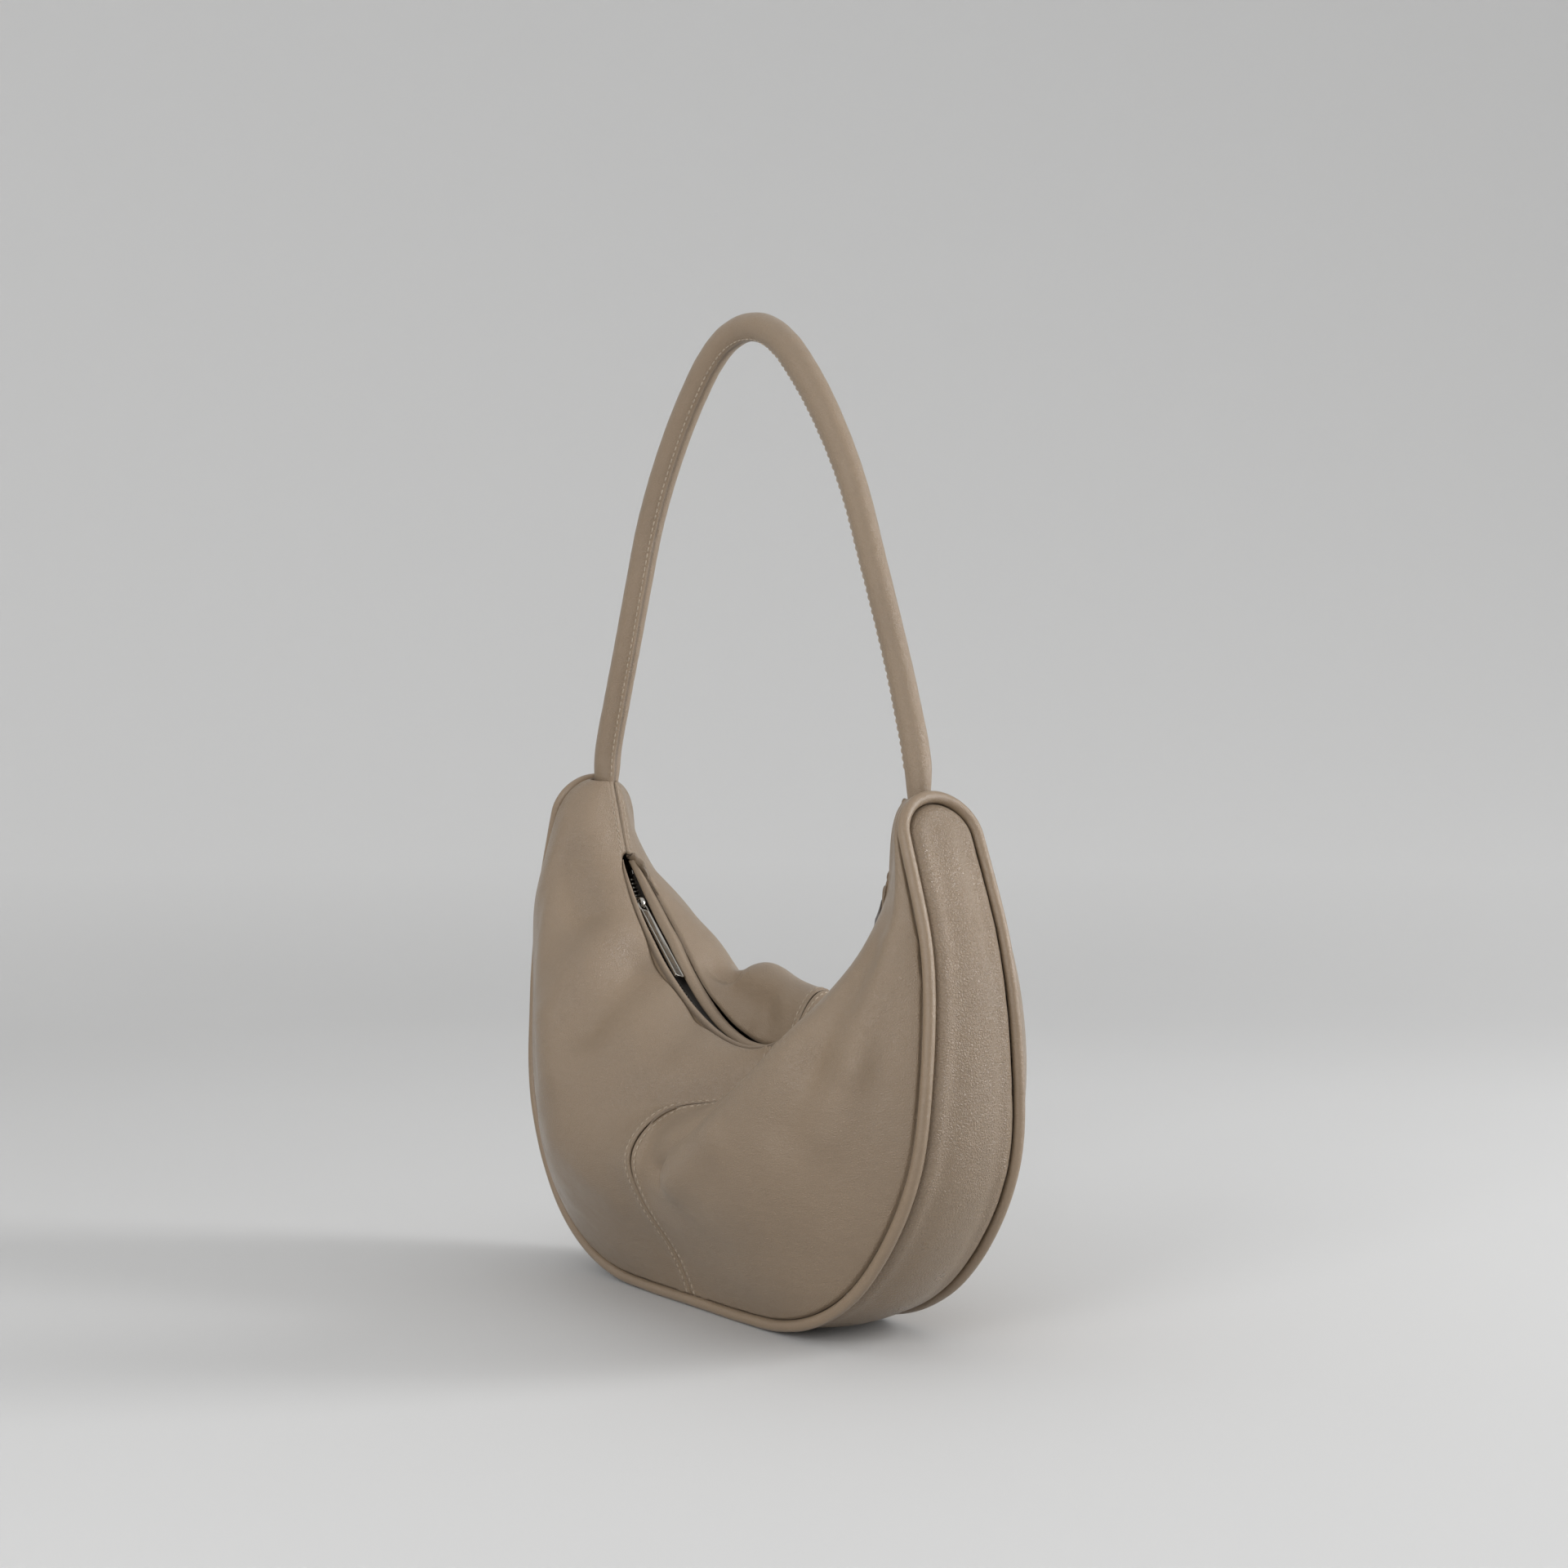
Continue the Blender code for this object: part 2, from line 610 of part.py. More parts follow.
def prism_mesh(name, outline, low, high, upright=False):
    """A flat outline extruded from low to high along Z, or along Y for an upright outline in XZ."""
    work = bmesh.new()
    place = (lambda a, b, c: (a, c, b)) if upright else (lambda a, b, c: (a, b, c))
    corners = [work.verts.new(place(a, b, low)) for a, b in outline]
    face = work.faces.new(corners)
    grown = bmesh.ops.extrude_face_region(work, geom=[face])
    moved = [v for v in grown["geom"] if isinstance(v, bmesh.types.BMVert)]
    bmesh.ops.translate(work, verts=moved, vec=place(0.0, 0.0, high - low))
    bmesh.ops.recalc_face_normals(work, faces=work.faces)
    mesh = bpy.data.meshes.new(name)
    work.to_mesh(mesh)
    work.free()
    return mesh


def helper(name, mesh, collection, parent=None):
    """A cutter or a joined-in shape, which isn't a part."""
    obj = link_mesh(name, mesh, collection, None)
    obj.hide_render = True
    obj.display_type = "WIRE"
    obj.parent = parent
    return obj


def combine(obj, other, operation):
    boolean = obj.modifiers.new(other.name, "BOOLEAN")
    boolean.operation = operation
    boolean.object = other
    return boolean


def empty(name, collection, location, parent=None):
    obj = bpy.data.objects.new(name, None)
    obj.empty_display_size = PULLER_WIDTH
    collection.objects.link(obj)
    obj.location = location
    obj.parent = parent
    return obj


# Pieces of the body


def make_panels(parts, leather):
    for side, facing in (("front", -1), ("back", 1)):
        for end, sign in (("right", 1), ("left", -1)):
            grid = half_panel(side, end)
            grid[0, :, 0] = sign * GAP / 2
            sheet(f"{side}_panel_{end}", grid, LEATHER, parts, leather, (0.0, facing, 0.0))


def band_grid(inset, drop, last_angle, rows):
    """The gusset's outer surface, or the surface that lies drop inside it."""
    place, half_width = band_stations(inset, last_angle, BAND_STATIONS, BAND_TIP_STATIONS)
    place = np.concatenate([-place[:0:-1], place])
    half_width = np.concatenate([half_width[:0:-1], half_width])
    across = np.linspace(-1.0, 1.0, rows)
    base = outline_at(place)
    outward = outward_at(place)
    rise = np.clip(base[:, 1] / (BODY_HEIGHT * GUSSET_CROWN_RISE_SHARE), 0, 1)
    crown = GUSSET_BASE_CROWN + (GUSSET_SIDE_CROWN - GUSSET_BASE_CROWN) * rise
    lift = crown[:, None] * (1 - across[None, :] ** 2) - drop
    x = base[:, :1] + outward[:, :1] * lift
    z = base[:, 1:] + outward[:, 1:] * lift
    y = half_width[:, None] * across[None, :]
    return np.stack([x, y, np.maximum(z, drop)], axis=-1)


def make_gusset(parts, leather, lining):
    edge = PIPING_RADIUS + GAP
    grid = band_grid(edge, 0.0, BAND_END_ANGLE, BAND_ROWS)
    sheet("gusset_band", grid, LEATHER, parts, leather, (0.0, 0.0, -1.0))
    drop = LEATHER + LINING_EASE
    inner = band_grid(edge + drop, drop, LINING_END_ANGLE, LINING_ROWS)
    sheet("lining_gusset", inner, LINING, parts, lining, (0.0, 0.0, -1.0))


def make_piping(parts, leather):
    place, half_width = band_stations(0.0, FULL_TIP_ANGLE, BAND_STATIONS, BAND_TIP_STATIONS)
    front = np.concatenate([-place[:0:-1], place])
    width = np.concatenate([half_width[:0:-1], half_width])
    line = outline_at(front)
    loop = [(x, -w, z) for (x, z), w in zip(line, width)]
    loop += [(x, w, z) for (x, z), w in zip(line[-2:0:-1], width[-2:0:-1])]
    data = bpy.data.curves.new("piping", "CURVE")
    data.dimensions = "3D"
    data.bevel_depth = PIPING_RADIUS
    data.bevel_resolution = 2
    spline = data.splines.new("POLY")
    spline.points.add(len(loop) - 1)
    for point, place_xyz in zip(spline.points, loop):
        point.co = (*place_xyz, 1.0)
    spline.use_cyclic_u = True
    obj = bpy.data.objects.new("piping", data)
    parts.objects.link(obj)
    data.materials.append(leather)


def make_linings(parts, lining):
    for side, facing in (("front", -1), ("back", 1)):
        grid = np.concatenate([half_lining(side, "left")[:0:-1], half_lining(side, "right")])
        outward = (0.0, facing, 0.0)
        sheet(f"lining_{side}", grid, LINING, parts, lining, outward, mirrored_in_x=True)


# Pieces of the zip


def strip(angles, corners):
    """Rings of a strip along the zip. corners gives each ring's (y, height) pairs at an angle."""
    return [
        np.stack([zip_point(angle, y, height) for y, height in corners(angle)])
        for angle in angles
    ]


def tape_angles():
    """Stations along the tape, closer together beside the slider, where the two tapes part."""
    reach = SLIDER_HALF_LENGTH / ZIP_RADIUS
    first, last = SLIDER_REST - reach, SLIDER_REST + reach
    return np.concatenate(
        [
            np.linspace(-TAPE_END, first, PARTING_STATIONS)[:-1],
            np.linspace(first, last, PARTING_STATIONS),
            np.linspace(last, TAPE_END, ZIP_STATIONS)[1:],
        ]
    )


def make_tapes(parts, tape):
    half = TAPE_THICKNESS / 2
    for side, sign in (("front", -1), ("back", 1)):

        def corners(angle, sign=sign):
            inner = RAIL_OUTER + GAP + parting(angle)
            return [
                (sign * inner, -half),
                (sign * TAPE_OUTER, -half),
                (sign * TAPE_OUTER, half),
                (sign * inner, half),
            ]

        loft(f"zip_tape_{side}", strip(tape_angles(), corners), parts, tape)


def make_facings(parts, leather):
    floor = TAPE_THICKNESS / 2 + GAP
    shelf = floor + FACING_THICKNESS
    for side, sign in (("front", -1), ("back", 1)):

        def corners(angle, side=side, sign=sign):
            k = sign * opening_share(angle)
            outer = sign * FACING_THICKNESS
            lip = lip_height(side, angle)
            return [
                (k * FACING_INNER, floor),
                (k * FACING_HEEL + outer, floor),
                (k * FACING_LIP + outer / 2, lip),
                (k * FACING_LIP - outer / 2, lip),
                (k * FACING_HEEL, shelf),
                (k * FACING_INNER, shelf),
            ]

        angles = np.linspace(-FACING_END, FACING_END, ZIP_STATIONS)
        loft(f"zip_facing_{side}", strip(angles, corners), parts, leather)


def make_teeth(parts, metal):
    """Each row is a rail whose inner side carries teeth, half a pitch from those of the other row."""
    half = RAIL_THICKNESS / 2
    pitch = TOOTH_PITCH / ZIP_RADIUS
    count = int(2 * TEETH_END / pitch)
    tooth = pitch * TOOTH_LENGTH_SHARE
    first = -count * pitch / 2
    for side, sign, shift in (("front", -1, FRONT_TOOTH_SHARE), ("back", 1, BACK_TOOTH_SHARE)):
        middles = first + (np.arange(count) + shift) * pitch
        angles = np.sort(np.concatenate([middles - tooth / 2, middles + tooth / 2]))
        mesh = loft_mesh(f"zip_teeth_{side}", strip(angles, rail_corners(sign, half)))
        work = bmesh.new()
        work.from_mesh(mesh)
        work.faces.ensure_lookup_table()
        inner_wall = [face for face in work.faces if inner_side(face, sign)]
        inner_wall.sort(key=lambda face: angle_of(face.calc_center_median()))
        grown = bmesh.ops.extrude_discrete_faces(work, faces=inner_wall[::2])
        for face in grown["faces"]:
            bmesh.ops.translate(work, verts=face.verts, vec=(0.0, -sign * TOOTH_REACH, 0.0))
        bmesh.ops.recalc_face_normals(work, faces=work.faces)
        work.to_mesh(mesh)
        work.free()
        link_mesh(f"zip_teeth_{side}", mesh, parts, metal)


def rail_corners(sign, half):
    """The corners of a bar that follows one row of teeth, half thick each way."""

    def corners(angle):
        inner = sign * (RAIL_INNER + parting(angle))
        outer = sign * (RAIL_OUTER + parting(angle))
        return [(inner, -half), (outer, -half), (outer, half), (inner, half)]

    return corners


def angle_of(point):
    return math.atan2(point.x, ZIP_AXIS_HEIGHT - point.z)


def inner_side(face, sign):
    face.normal_update()
    return face.normal.y * sign < -math.cos(SHARP_EDGE)


def make_stops(parts, metal):
    half = STOP_THICKNESS / 2
    length = STOP_LENGTH / ZIP_RADIUS
    start = TEETH_END + GAP / ZIP_RADIUS
    for side, sign in (("front", -1), ("back", 1)):
        rings = strip((-start - length, -start), rail_corners(sign, half))
        loft(f"zip_top_stop_{side}", rings, parts, metal)

    def whole(angle):
        return [(-RAIL_OUTER, -half), (RAIL_OUTER, -half), (RAIL_OUTER, half), (-RAIL_OUTER, half)]

    loft("zip_bottom_stop", strip((start, start + length), whole), parts, metal)


# The slider and its puller, in the slider's own frame: X along the zip, Z up from the tape


def plate_outline(front_half_width, tail_half_width):
    front = -SLIDER_HALF_LENGTH
    tail = SLIDER_HALF_LENGTH
    shoulder = front + POST_LENGTH / 4
    return [
        (shoulder, -front_half_width),
        (0.0, -front_half_width),
        (tail, -tail_half_width),
        (tail, tail_half_width),
        (0.0, front_half_width),
        (shoulder, front_half_width),
        (front, front_half_width - POST_LENGTH / 4),
        (front, POST_HALF_WIDTH - front_half_width),
    ]


def make_slider(parts, helpers, metal, axis):
    """Two plates round the teeth, joined by the post that parts them, with side flanges and a crown."""
    channel = CHANNEL_HALF_HEIGHT
    plate_top = channel + SLIDER_PLATE
    outer = plate_outline(SLIDER_HALF_WIDTH, SLIDER_TAIL_HALF_WIDTH)
    inner = plate_outline(SLIDER_HALF_WIDTH - FLANGE_WALL, SLIDER_TAIL_HALF_WIDTH - FLANGE_WALL)
    stretched = [(x * (1 + CUT_OVERRUN / SLIDER_HALF_LENGTH), y) for x, y in inner]
    slider = link_mesh("zip_slider", prism_mesh("zip_slider", outer, -plate_top, plate_top), parts, metal)
    slider.parent = axis
    slider.location = (0.0, 0.0, -ZIP_RADIUS)
    tools = {"channel_cut": prism_mesh("channel_cut", stretched, -channel, channel)}
    wide = SLIDER_HALF_WIDTH + CUT_OVERRUN
    long = SLIDER_HALF_LENGTH + CUT_OVERRUN
    slot = [(-long, -wide), (long, -wide), (long, wide), (-long, wide)]
    slot_half = FLANGE_SLOT_HALF_HEIGHT
    tools["tape_slot_cut"] = prism_mesh("tape_slot_cut", slot, -slot_half, slot_half)
    front = -SLIDER_HALF_LENGTH
    post = [
        (front, -POST_HALF_WIDTH),
        (front + POST_LENGTH, -POST_TIP_HALF_WIDTH),
        (front + POST_LENGTH, POST_TIP_HALF_WIDTH),
        (front, POST_HALF_WIDTH),
    ]
    reach = channel + PLATE_SINK
    tools["post"] = prism_mesh("post", post, -reach, reach)
    top = plate_top + CROWN_HEIGHT
    foot = plate_top - PLATE_SINK
    shoulder_x = CROWN_HALF_LENGTH * CROWN_SHOULDER_SHARE
    shoulder_z = top - CROWN_WALL - CROWN_WALL / 2
    crest_x = CROWN_HALF_LENGTH * CROWN_CREST_SHARE
    outer_arch = [
        (-CROWN_HALF_LENGTH, foot),
        (-shoulder_x, shoulder_z),
        (-crest_x, top),
        (crest_x, top),
        (shoulder_x, shoulder_z),
        (CROWN_HALF_LENGTH, foot),
    ]
    inner_arch = [
        (CROWN_HALF_LENGTH - CROWN_WALL, foot),
        (shoulder_x - CROWN_WALL, shoulder_z - CROWN_WALL / 2),
        (crest_x - CROWN_WALL / 4, top - CROWN_WALL),
        (CROWN_WALL / 4 - crest_x, top - CROWN_WALL),
        (CROWN_WALL - shoulder_x, shoulder_z - CROWN_WALL / 2),
        (CROWN_WALL - CROWN_HALF_LENGTH, foot),
    ]
    arch = outer_arch + inner_arch
    tools["crown"] = prism_mesh("crown", arch, -CROWN_HALF_WIDTH, CROWN_HALF_WIDTH, upright=True)
    for name, operation in (
        ("channel_cut", "DIFFERENCE"),
        ("tape_slot_cut", "DIFFERENCE"),
        ("post", "UNION"),
        ("crown", "UNION"),
    ):
        tool = helper(name, tools[name], helpers, axis)
        tool.location = slider.location
        combine(slider, tool, operation)
    return slider


def make_puller(parts, helpers, metal, slider_axis):
    """A flat bar whose eye goes round the slider's crown, with a round cross bar through it."""
    pivot = empty("puller_pivot", parts, (0.0, 0.0, PIVOT_HEIGHT - ZIP_RADIUS), slider_axis)
    pivot.rotation_euler = (0.0, -PULLER_LIFT, 0.0)
    half = PULLER_WIDTH / 2
    corner = PULLER_CORNER
    outline = [
        (0.0, -half),
        (PULLER_LENGTH - corner, -half),
        (PULLER_LENGTH, corner - half),
        (PULLER_LENGTH, half - corner),
        (PULLER_LENGTH - corner, half),
        (0.0, half),
    ]
    thick = PULLER_THICKNESS / 2
    puller = link_mesh("zip_puller", prism_mesh("zip_puller", outline, -thick, thick), parts, metal)
    puller.parent = pivot
    eye_half = CROWN_HALF_WIDTH + EYE_SIDE_CLEARANCE
    eye = [
        (-CUT_OVERRUN, -eye_half),
        (EYE_LENGTH, -eye_half),
        (EYE_LENGTH, eye_half),
        (-CUT_OVERRUN, eye_half),
    ]
    overrun = thick + CUT_OVERRUN
    cutter = helper("puller_eye_cut", prism_mesh("puller_eye_cut", eye, -overrun, overrun), helpers, pivot)
    combine(puller, cutter, "DIFFERENCE")
    work = bmesh.new()
    bmesh.ops.create_cone(
        work,
        cap_ends=True,
        segments=BAR_SIDES,
        radius1=EYE_BAR_RADIUS,
        radius2=EYE_BAR_RADIUS,
        depth=PULLER_WIDTH,
    )
    mesh = bpy.data.meshes.new("puller_cross_bar")
    work.to_mesh(mesh)
    work.free()
    bar = helper("puller_cross_bar", mesh, helpers, pivot)
    bar.rotation_euler = (math.pi / 2, 0.0, 0.0)
    combine(puller, bar, "UNION")


# The handle


def handle_centreline():
    """The rolled handle's centre, with a straight run past each pivot for the rounded end."""
    half = [(x * HANDLE_ROOT_X, z * HANDLE_RISE) for x, z in HANDLE_SHARES]
    curve = smooth_path(mirrored(half), CURVE_SAMPLES)
    along, length = by_length(curve)
    middle = np.linspace(0.0, length, HANDLE_STATIONS)
    turn = np.linspace(math.pi / 2, HANDLE_END_ANGLE, HANDLE_END_STATIONS + 1)[1:]
    lead = HANDLE_RADIUS * np.cos(turn)
    start = (curve[0] - curve[1]) / np.linalg.norm(curve[0] - curve[1])
    before = curve[0] + start * lead[::-1][:, None]
    after = before[::-1] * (-1, 1)
    path = np.concatenate([before, at(along, curve, middle), after])
    ones = np.ones(HANDLE_STATIONS)
    return path, np.concatenate([np.sin(turn)[::-1], ones, np.sin(turn)])


def handle_rings(radius, fin, shares, path):
    """Rings square to the handle's path, each with a low fin on the inner side of the arch."""
    tangent = np.gradient(path, axis=0)
    tangent /= np.linalg.norm(tangent, axis=1, keepdims=True)
    outward = np.stack([-tangent[:, 1], tangent[:, 0]], axis=1)
    edge = HANDLE_SEAM_EDGE
    turn = np.append(math.pi, np.linspace(math.pi + edge, 3 * math.pi - edge, HANDLE_SIDES))
    peak = np.arange(len(turn)) == 0
    rings = []
    for (x, z), (nx, nz), share in zip(path, outward, shares):
        ring_radius = radius * share + fin * peak * (share == 1)
        out = ring_radius * np.cos(turn)
        side = ring_radius * np.sin(turn)
        rings.append(np.stack([x + nx * out, side, z + nz * out], axis=1))
    return np.array(rings)


def make_handle(parts, leather, cord):
    pivot = empty("handle_pivot", parts, (0.0, 0.0, HANDLE_PIVOT_HEIGHT))
    path, shares = handle_centreline()
    outer = handle_rings(HANDLE_RADIUS, HANDLE_SEAM_FIN, shares, path)
    inner_radius = HANDLE_RADIUS - HANDLE_WALL
    inner_path = pulled_in(path, HANDLE_WALL)
    inner = handle_rings(inner_radius, 0.0, shares, inner_path)[1:-1]
    sleeve = loft("handle_sleeve", np.concatenate([outer, inner[::-1]]), parts, leather, looped=True)
    sleeve.parent = pivot
    core_radius = inner_radius - GAP
    core_path = pulled_in(path, HANDLE_WALL + GAP)[1:-1]
    rings = handle_rings(core_radius, 0.0, shares[1:-1], core_path)
    core = loft("handle_core", rings, parts, cord)
    core.parent = pivot


def pulled_in(path, amount):
    """The path with its rounded ends shortened by amount."""
    path = path.copy()
    n = HANDLE_END_STATIONS
    share = 1 - amount / HANDLE_RADIUS
    path[:n] = path[n] + (path[:n] - path[n]) * share
    path[-n:] = path[-n - 1] + (path[-n:] - path[-n - 1]) * share
    return path


def make_tabs(parts, leather):
    """The handle's sewn ends, inside the horns: round at the top, pressed flat at the foot."""
    top = HANDLE_PIVOT_HEIGHT - HANDLE_RADIUS - GAP
    turn = np.linspace(0.0, 2 * math.pi, TAB_SIDES + 1)[:-1]
    for end, sign in (("left", -1), ("right", 1)):
        rings = []
        for share in np.linspace(0.0, 1.0, TAB_STATIONS):
            x = HANDLE_ROOT_X + TAB_LEAN * share + GAP
            half_thickness = TAB_RADIUS + (TAB_FOOT_HALF_THICKNESS - TAB_RADIUS) * share
            out = TAB_RADIUS * np.cos(turn)
            side = half_thickness * np.sin(turn)
            z = np.full_like(turn, top - TAB_DEPTH * share)
            rings.append(np.stack([sign * (x + out), side, z], axis=1))
        loft(f"handle_tab_{end}", rings, parts, leather)


def main():
    clear_scene()
    parts = new_collection("crescent_bag")
    helpers = new_collection("cutters")
    leather = new_material("taupe_leather", (0.24, 0.19, 0.145), 0.5)
    handle_leather = new_material("handle_leather", (0.25, 0.20, 0.15), 0.48)
    piping_leather = new_material("piping_leather", (0.23, 0.18, 0.14), 0.45)
    lining = new_material("lining_cloth", (0.10, 0.085, 0.07), 0.85)
    tape = new_material("zip_tape", (0.12, 0.10, 0.08), 0.8)
    teeth = new_material("zip_teeth_metal", (0.45, 0.44, 0.42), 0.35, 1.0)
    nickel = new_material("nickel", (0.66, 0.65, 0.62), 0.22, 1.0)
    cord = new_material("handle_cord", (0.6, 0.58, 0.52), 0.9)

    make_panels(parts, leather)
    make_gusset(parts, leather, lining)
    make_piping(parts, piping_leather)
    make_linings(parts, lining)
    make_tapes(parts, tape)
    make_facings(parts, leather)
    make_teeth(parts, teeth)
    make_stops(parts, teeth)
    slider_axis = empty("zip_axis", parts, (0.0, 0.0, ZIP_AXIS_HEIGHT))
    slider_axis.rotation_euler = (0.0, -SLIDER_REST, 0.0)
    make_slider(parts, helpers, nickel, slider_axis)
    make_puller(parts, helpers, nickel, slider_axis)
    make_handle(parts, handle_leather, cord)
    make_tabs(parts, handle_leather)


main()
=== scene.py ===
"""Leather crescent shoulder bag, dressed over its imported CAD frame.

Every piece is a surface worked out with numpy from the bag's shared lines: the outline that the piping
follows, the sagging lips beside the zip and the zip's arc. Lengths are in metres, X runs along the bag,
the front faces -Y and Z is up.
"""

import math

import bpy
import numpy as np
from bpy.props import FloatProperty, FloatVectorProperty, PointerProperty
from mathutils import Matrix


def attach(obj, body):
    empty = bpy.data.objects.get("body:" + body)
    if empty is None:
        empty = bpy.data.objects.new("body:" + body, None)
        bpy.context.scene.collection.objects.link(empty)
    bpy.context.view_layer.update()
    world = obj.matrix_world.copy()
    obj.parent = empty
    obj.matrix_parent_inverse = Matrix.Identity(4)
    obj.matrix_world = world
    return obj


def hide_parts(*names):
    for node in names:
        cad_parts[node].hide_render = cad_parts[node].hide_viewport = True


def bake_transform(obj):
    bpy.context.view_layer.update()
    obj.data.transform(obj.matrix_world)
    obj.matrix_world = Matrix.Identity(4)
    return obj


bl_info = {
    "name": "Crescent shoulder bag",
    "version": (1, 0, 0),
    "blender": (4, 5, 0),
    "location": "3D View > Sidebar > Bag",
    "description": "Dresses a crescent leather shoulder bag: panels, piping, zip, handle and stitches",
    "category": "Add Mesh",
}

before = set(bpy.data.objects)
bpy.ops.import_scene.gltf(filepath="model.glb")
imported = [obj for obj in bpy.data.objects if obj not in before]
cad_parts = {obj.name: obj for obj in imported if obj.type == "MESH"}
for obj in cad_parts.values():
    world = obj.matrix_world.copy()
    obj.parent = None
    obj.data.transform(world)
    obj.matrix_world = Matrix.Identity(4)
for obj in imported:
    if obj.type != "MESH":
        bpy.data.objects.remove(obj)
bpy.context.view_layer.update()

MM = 0.001

# Shares of the bag's length and height along the piping's centre, from the middle of the base to a horn
OUTLINE_SHARES = (
    (0.0, 0.0), (0.250, 0.0), (0.414, 0.006), (0.520, 0.022), (0.705, 0.084), (0.863, 0.194),
    (0.971, 0.334), (1.0, 0.516), (0.976, 0.710), (0.903, 0.875), (0.834, 1.0),
)
GUSSET_WIDTH_SHARES = (
    (0.0, 1.0), (0.20, 0.97), (0.37, 0.91), (0.54, 0.82), (0.70, 0.73), (0.86, 0.69), (1.0, 0.66),
)
HANDLE_SHARES = (
    (0.0, 1.0), (0.130, 0.985), (0.252, 0.939), (0.354, 0.876), (0.541, 0.723), (0.675, 0.571),
    (0.766, 0.419), (0.846, 0.277), (0.928, 0.135), (1.0, 0.0),
)

# The even bulge: a place along the panel, then the depths and reaches of a section's two control points
BULGE_SHARES = (
    (0.0, 0.43, 0.93, 0.33, 0.62),
    (0.12, 0.49, 0.99, 0.32, 0.66),
    (0.25, 0.56, 1.0, 0.30, 0.72),
    (0.50, 0.56, 0.83, 0.28, 0.84),
    (0.70, 0.48, 0.60, 0.28, 0.94),
    (0.85, 0.33, 0.39, 0.28, 1.0),
    (0.95, 0.235, 0.23, 0.22, 1.0),
    (1.0, 0.115, 0.105, 0.12, 1.0),
)

# How the worn leather departs from the even bulge, in millimetres: a place along the panel, then how far
# each of five points of the section, from the piping to the lip, stands outwards and upwards
SLOUCH = {
    ("front", -1): (
        (0.0, -0.8, 2.4, 3.5, 4.5, 5.0, 9.5, -15.5, 8.5, -26, -9),
        (0.05, -0.5, 1, 1, 3, 1, 5, -10, 2, -17, -9),
        (0.12, 0, 0, 0, 0, 0, 0, -4, -2, -7, -5),
        (0.28, -1, 0, -1, 0, -1, 0, 0, 0, 0, 0),
        (0.36, -3, 0, -6, 0, -5, 0, 0, 0, 0, 1),
        (0.44, -6.5, 0, -11, 0, -10, 0, -1, 0, 0, 2),
        (0.52, -8, 0, -12.5, 0, -11, 0, -2, 0, 0, 3),
        (0.60, -8, 0, -11.5, 0, -10, 0, -2, 0, 0, 2),
        (0.70, -6, 0, -9, 0, -7, 0, -1, 0, 0, 1),
        (0.80, 0, 0, -1, 0, 0, 0, 0, 0, 0, 0),
        (1.0, 0, 0, 0, 0, 0, 0, 0, 0, 0, 0),
    ),
    ("front", 1): (
        (0.0, -0.8, 2.4, 3.5, 4.5, 5.0, 9.5, -15.5, 8.5, -26, -9),
        (0.035, 0, 2, 1, 3, -3, 2, -9, -1, -9, -10),
        (0.07, 0, 0, 0, 0, -1, 1, -4, -2, -4, -9),
        (0.12, 0, 0, 0, 0, 3, 1, -2, -2, -4, -8),
        (0.20, 0, 0, 0, 0, 1, 1, -3, -3, -5, -13),
        (0.28, 0, 0, 0, 0, 0, 0, 0, -4, -4, -13),
        (0.36, 0, 0, 0, 0, 0, 0, 0, -2, -3, -13),
        (0.44, 0, 0, 0, 0, 0, 0, -1, -5, -3, -15),
        (0.52, 0, 0, 0, 0, 0, -1, -3, -7, -5, -16),
        (0.60, 0, 0, 0, 0, -5, -2, -13, -10, -17, -17),
        (0.70, -3, 0, -8, -2, -17, -4, -26, -9, -26, -10),
        (0.80, -2, 0, -13, 0, -23, 0, -27, -2, -19, -3),
        (0.90, -3, 0, -11, 0, -16, 0, -16, 0, -10, 1),
        (1.0, -1, 0, -4, 0, -6, 0, -6, 0, -4, 0),
    ),
    ("back", -1): (
        (0.0, 0, 0, 0, 4, 0, 15, -3, 30, -12, 37),
        (0.12, 0, 0, 0, 4, 0, 14, -3, 29, -13, 37),
        (0.20, 0, 0, 0, 4, 0, 14, -2, 29, -10, 37),
        (0.26, 0, 0, 0, 3, 0, 13, -1, 26, -9, 34),
        (0.32, 0, 0, 0, 2, 0, 8, -2, 17, -9, 22),
        (0.38, 0, 0, 0, 1, 0, 2, -2, 6, -7, 9),
        (0.50, 0, 0, 0, 0, 0, 2, 0, 5, -4, 10),
        (0.60, 0, 0, 0, 0, 0, 0, -1, 1, -6, 4),
        (0.70, 0, 0, 0, 0, -2, 0, -6, 0, -10, 0),
        (0.80, 0, 0, -2, 0, -8, 0, -16, 0, -15, 0),
        (0.90, 0, 0, -7, 0, -12, 0, -13, 0, -8, 0),
        (1.0, 0, 0, -3, 0, -5, 0, -5, 0, -3, 0),
    ),
    ("back", 1): (
        (0.0, 0, 0, 0, 4, 0, 15, -3, 30, -12, 37),
        (0.12, 0, 0, 0, 4, 0, 11, -3, 20, -10, 20),
        (0.27, 0, 0, 0, 1, 0, 4, -2, 8, -6, 8),
        (0.50, 0, 0, 0, 0, 0, 0, 0, 0, -3, 0),
        (0.72, 0, 0, 0, 0, 0, 0, -3, 0, -4, 0),
        (1.0, 0, 0, 0, 0, 0, 0, 0, 0, 0, 0),
    ),
}

# How far to the right the centre seam has drifted at each point of its section, in millimetres
SEAM_DRIFT = {"front": (0, 0, 0, 2, 23, 32), "back": (2, 5, 9, 14, 18, 19)}

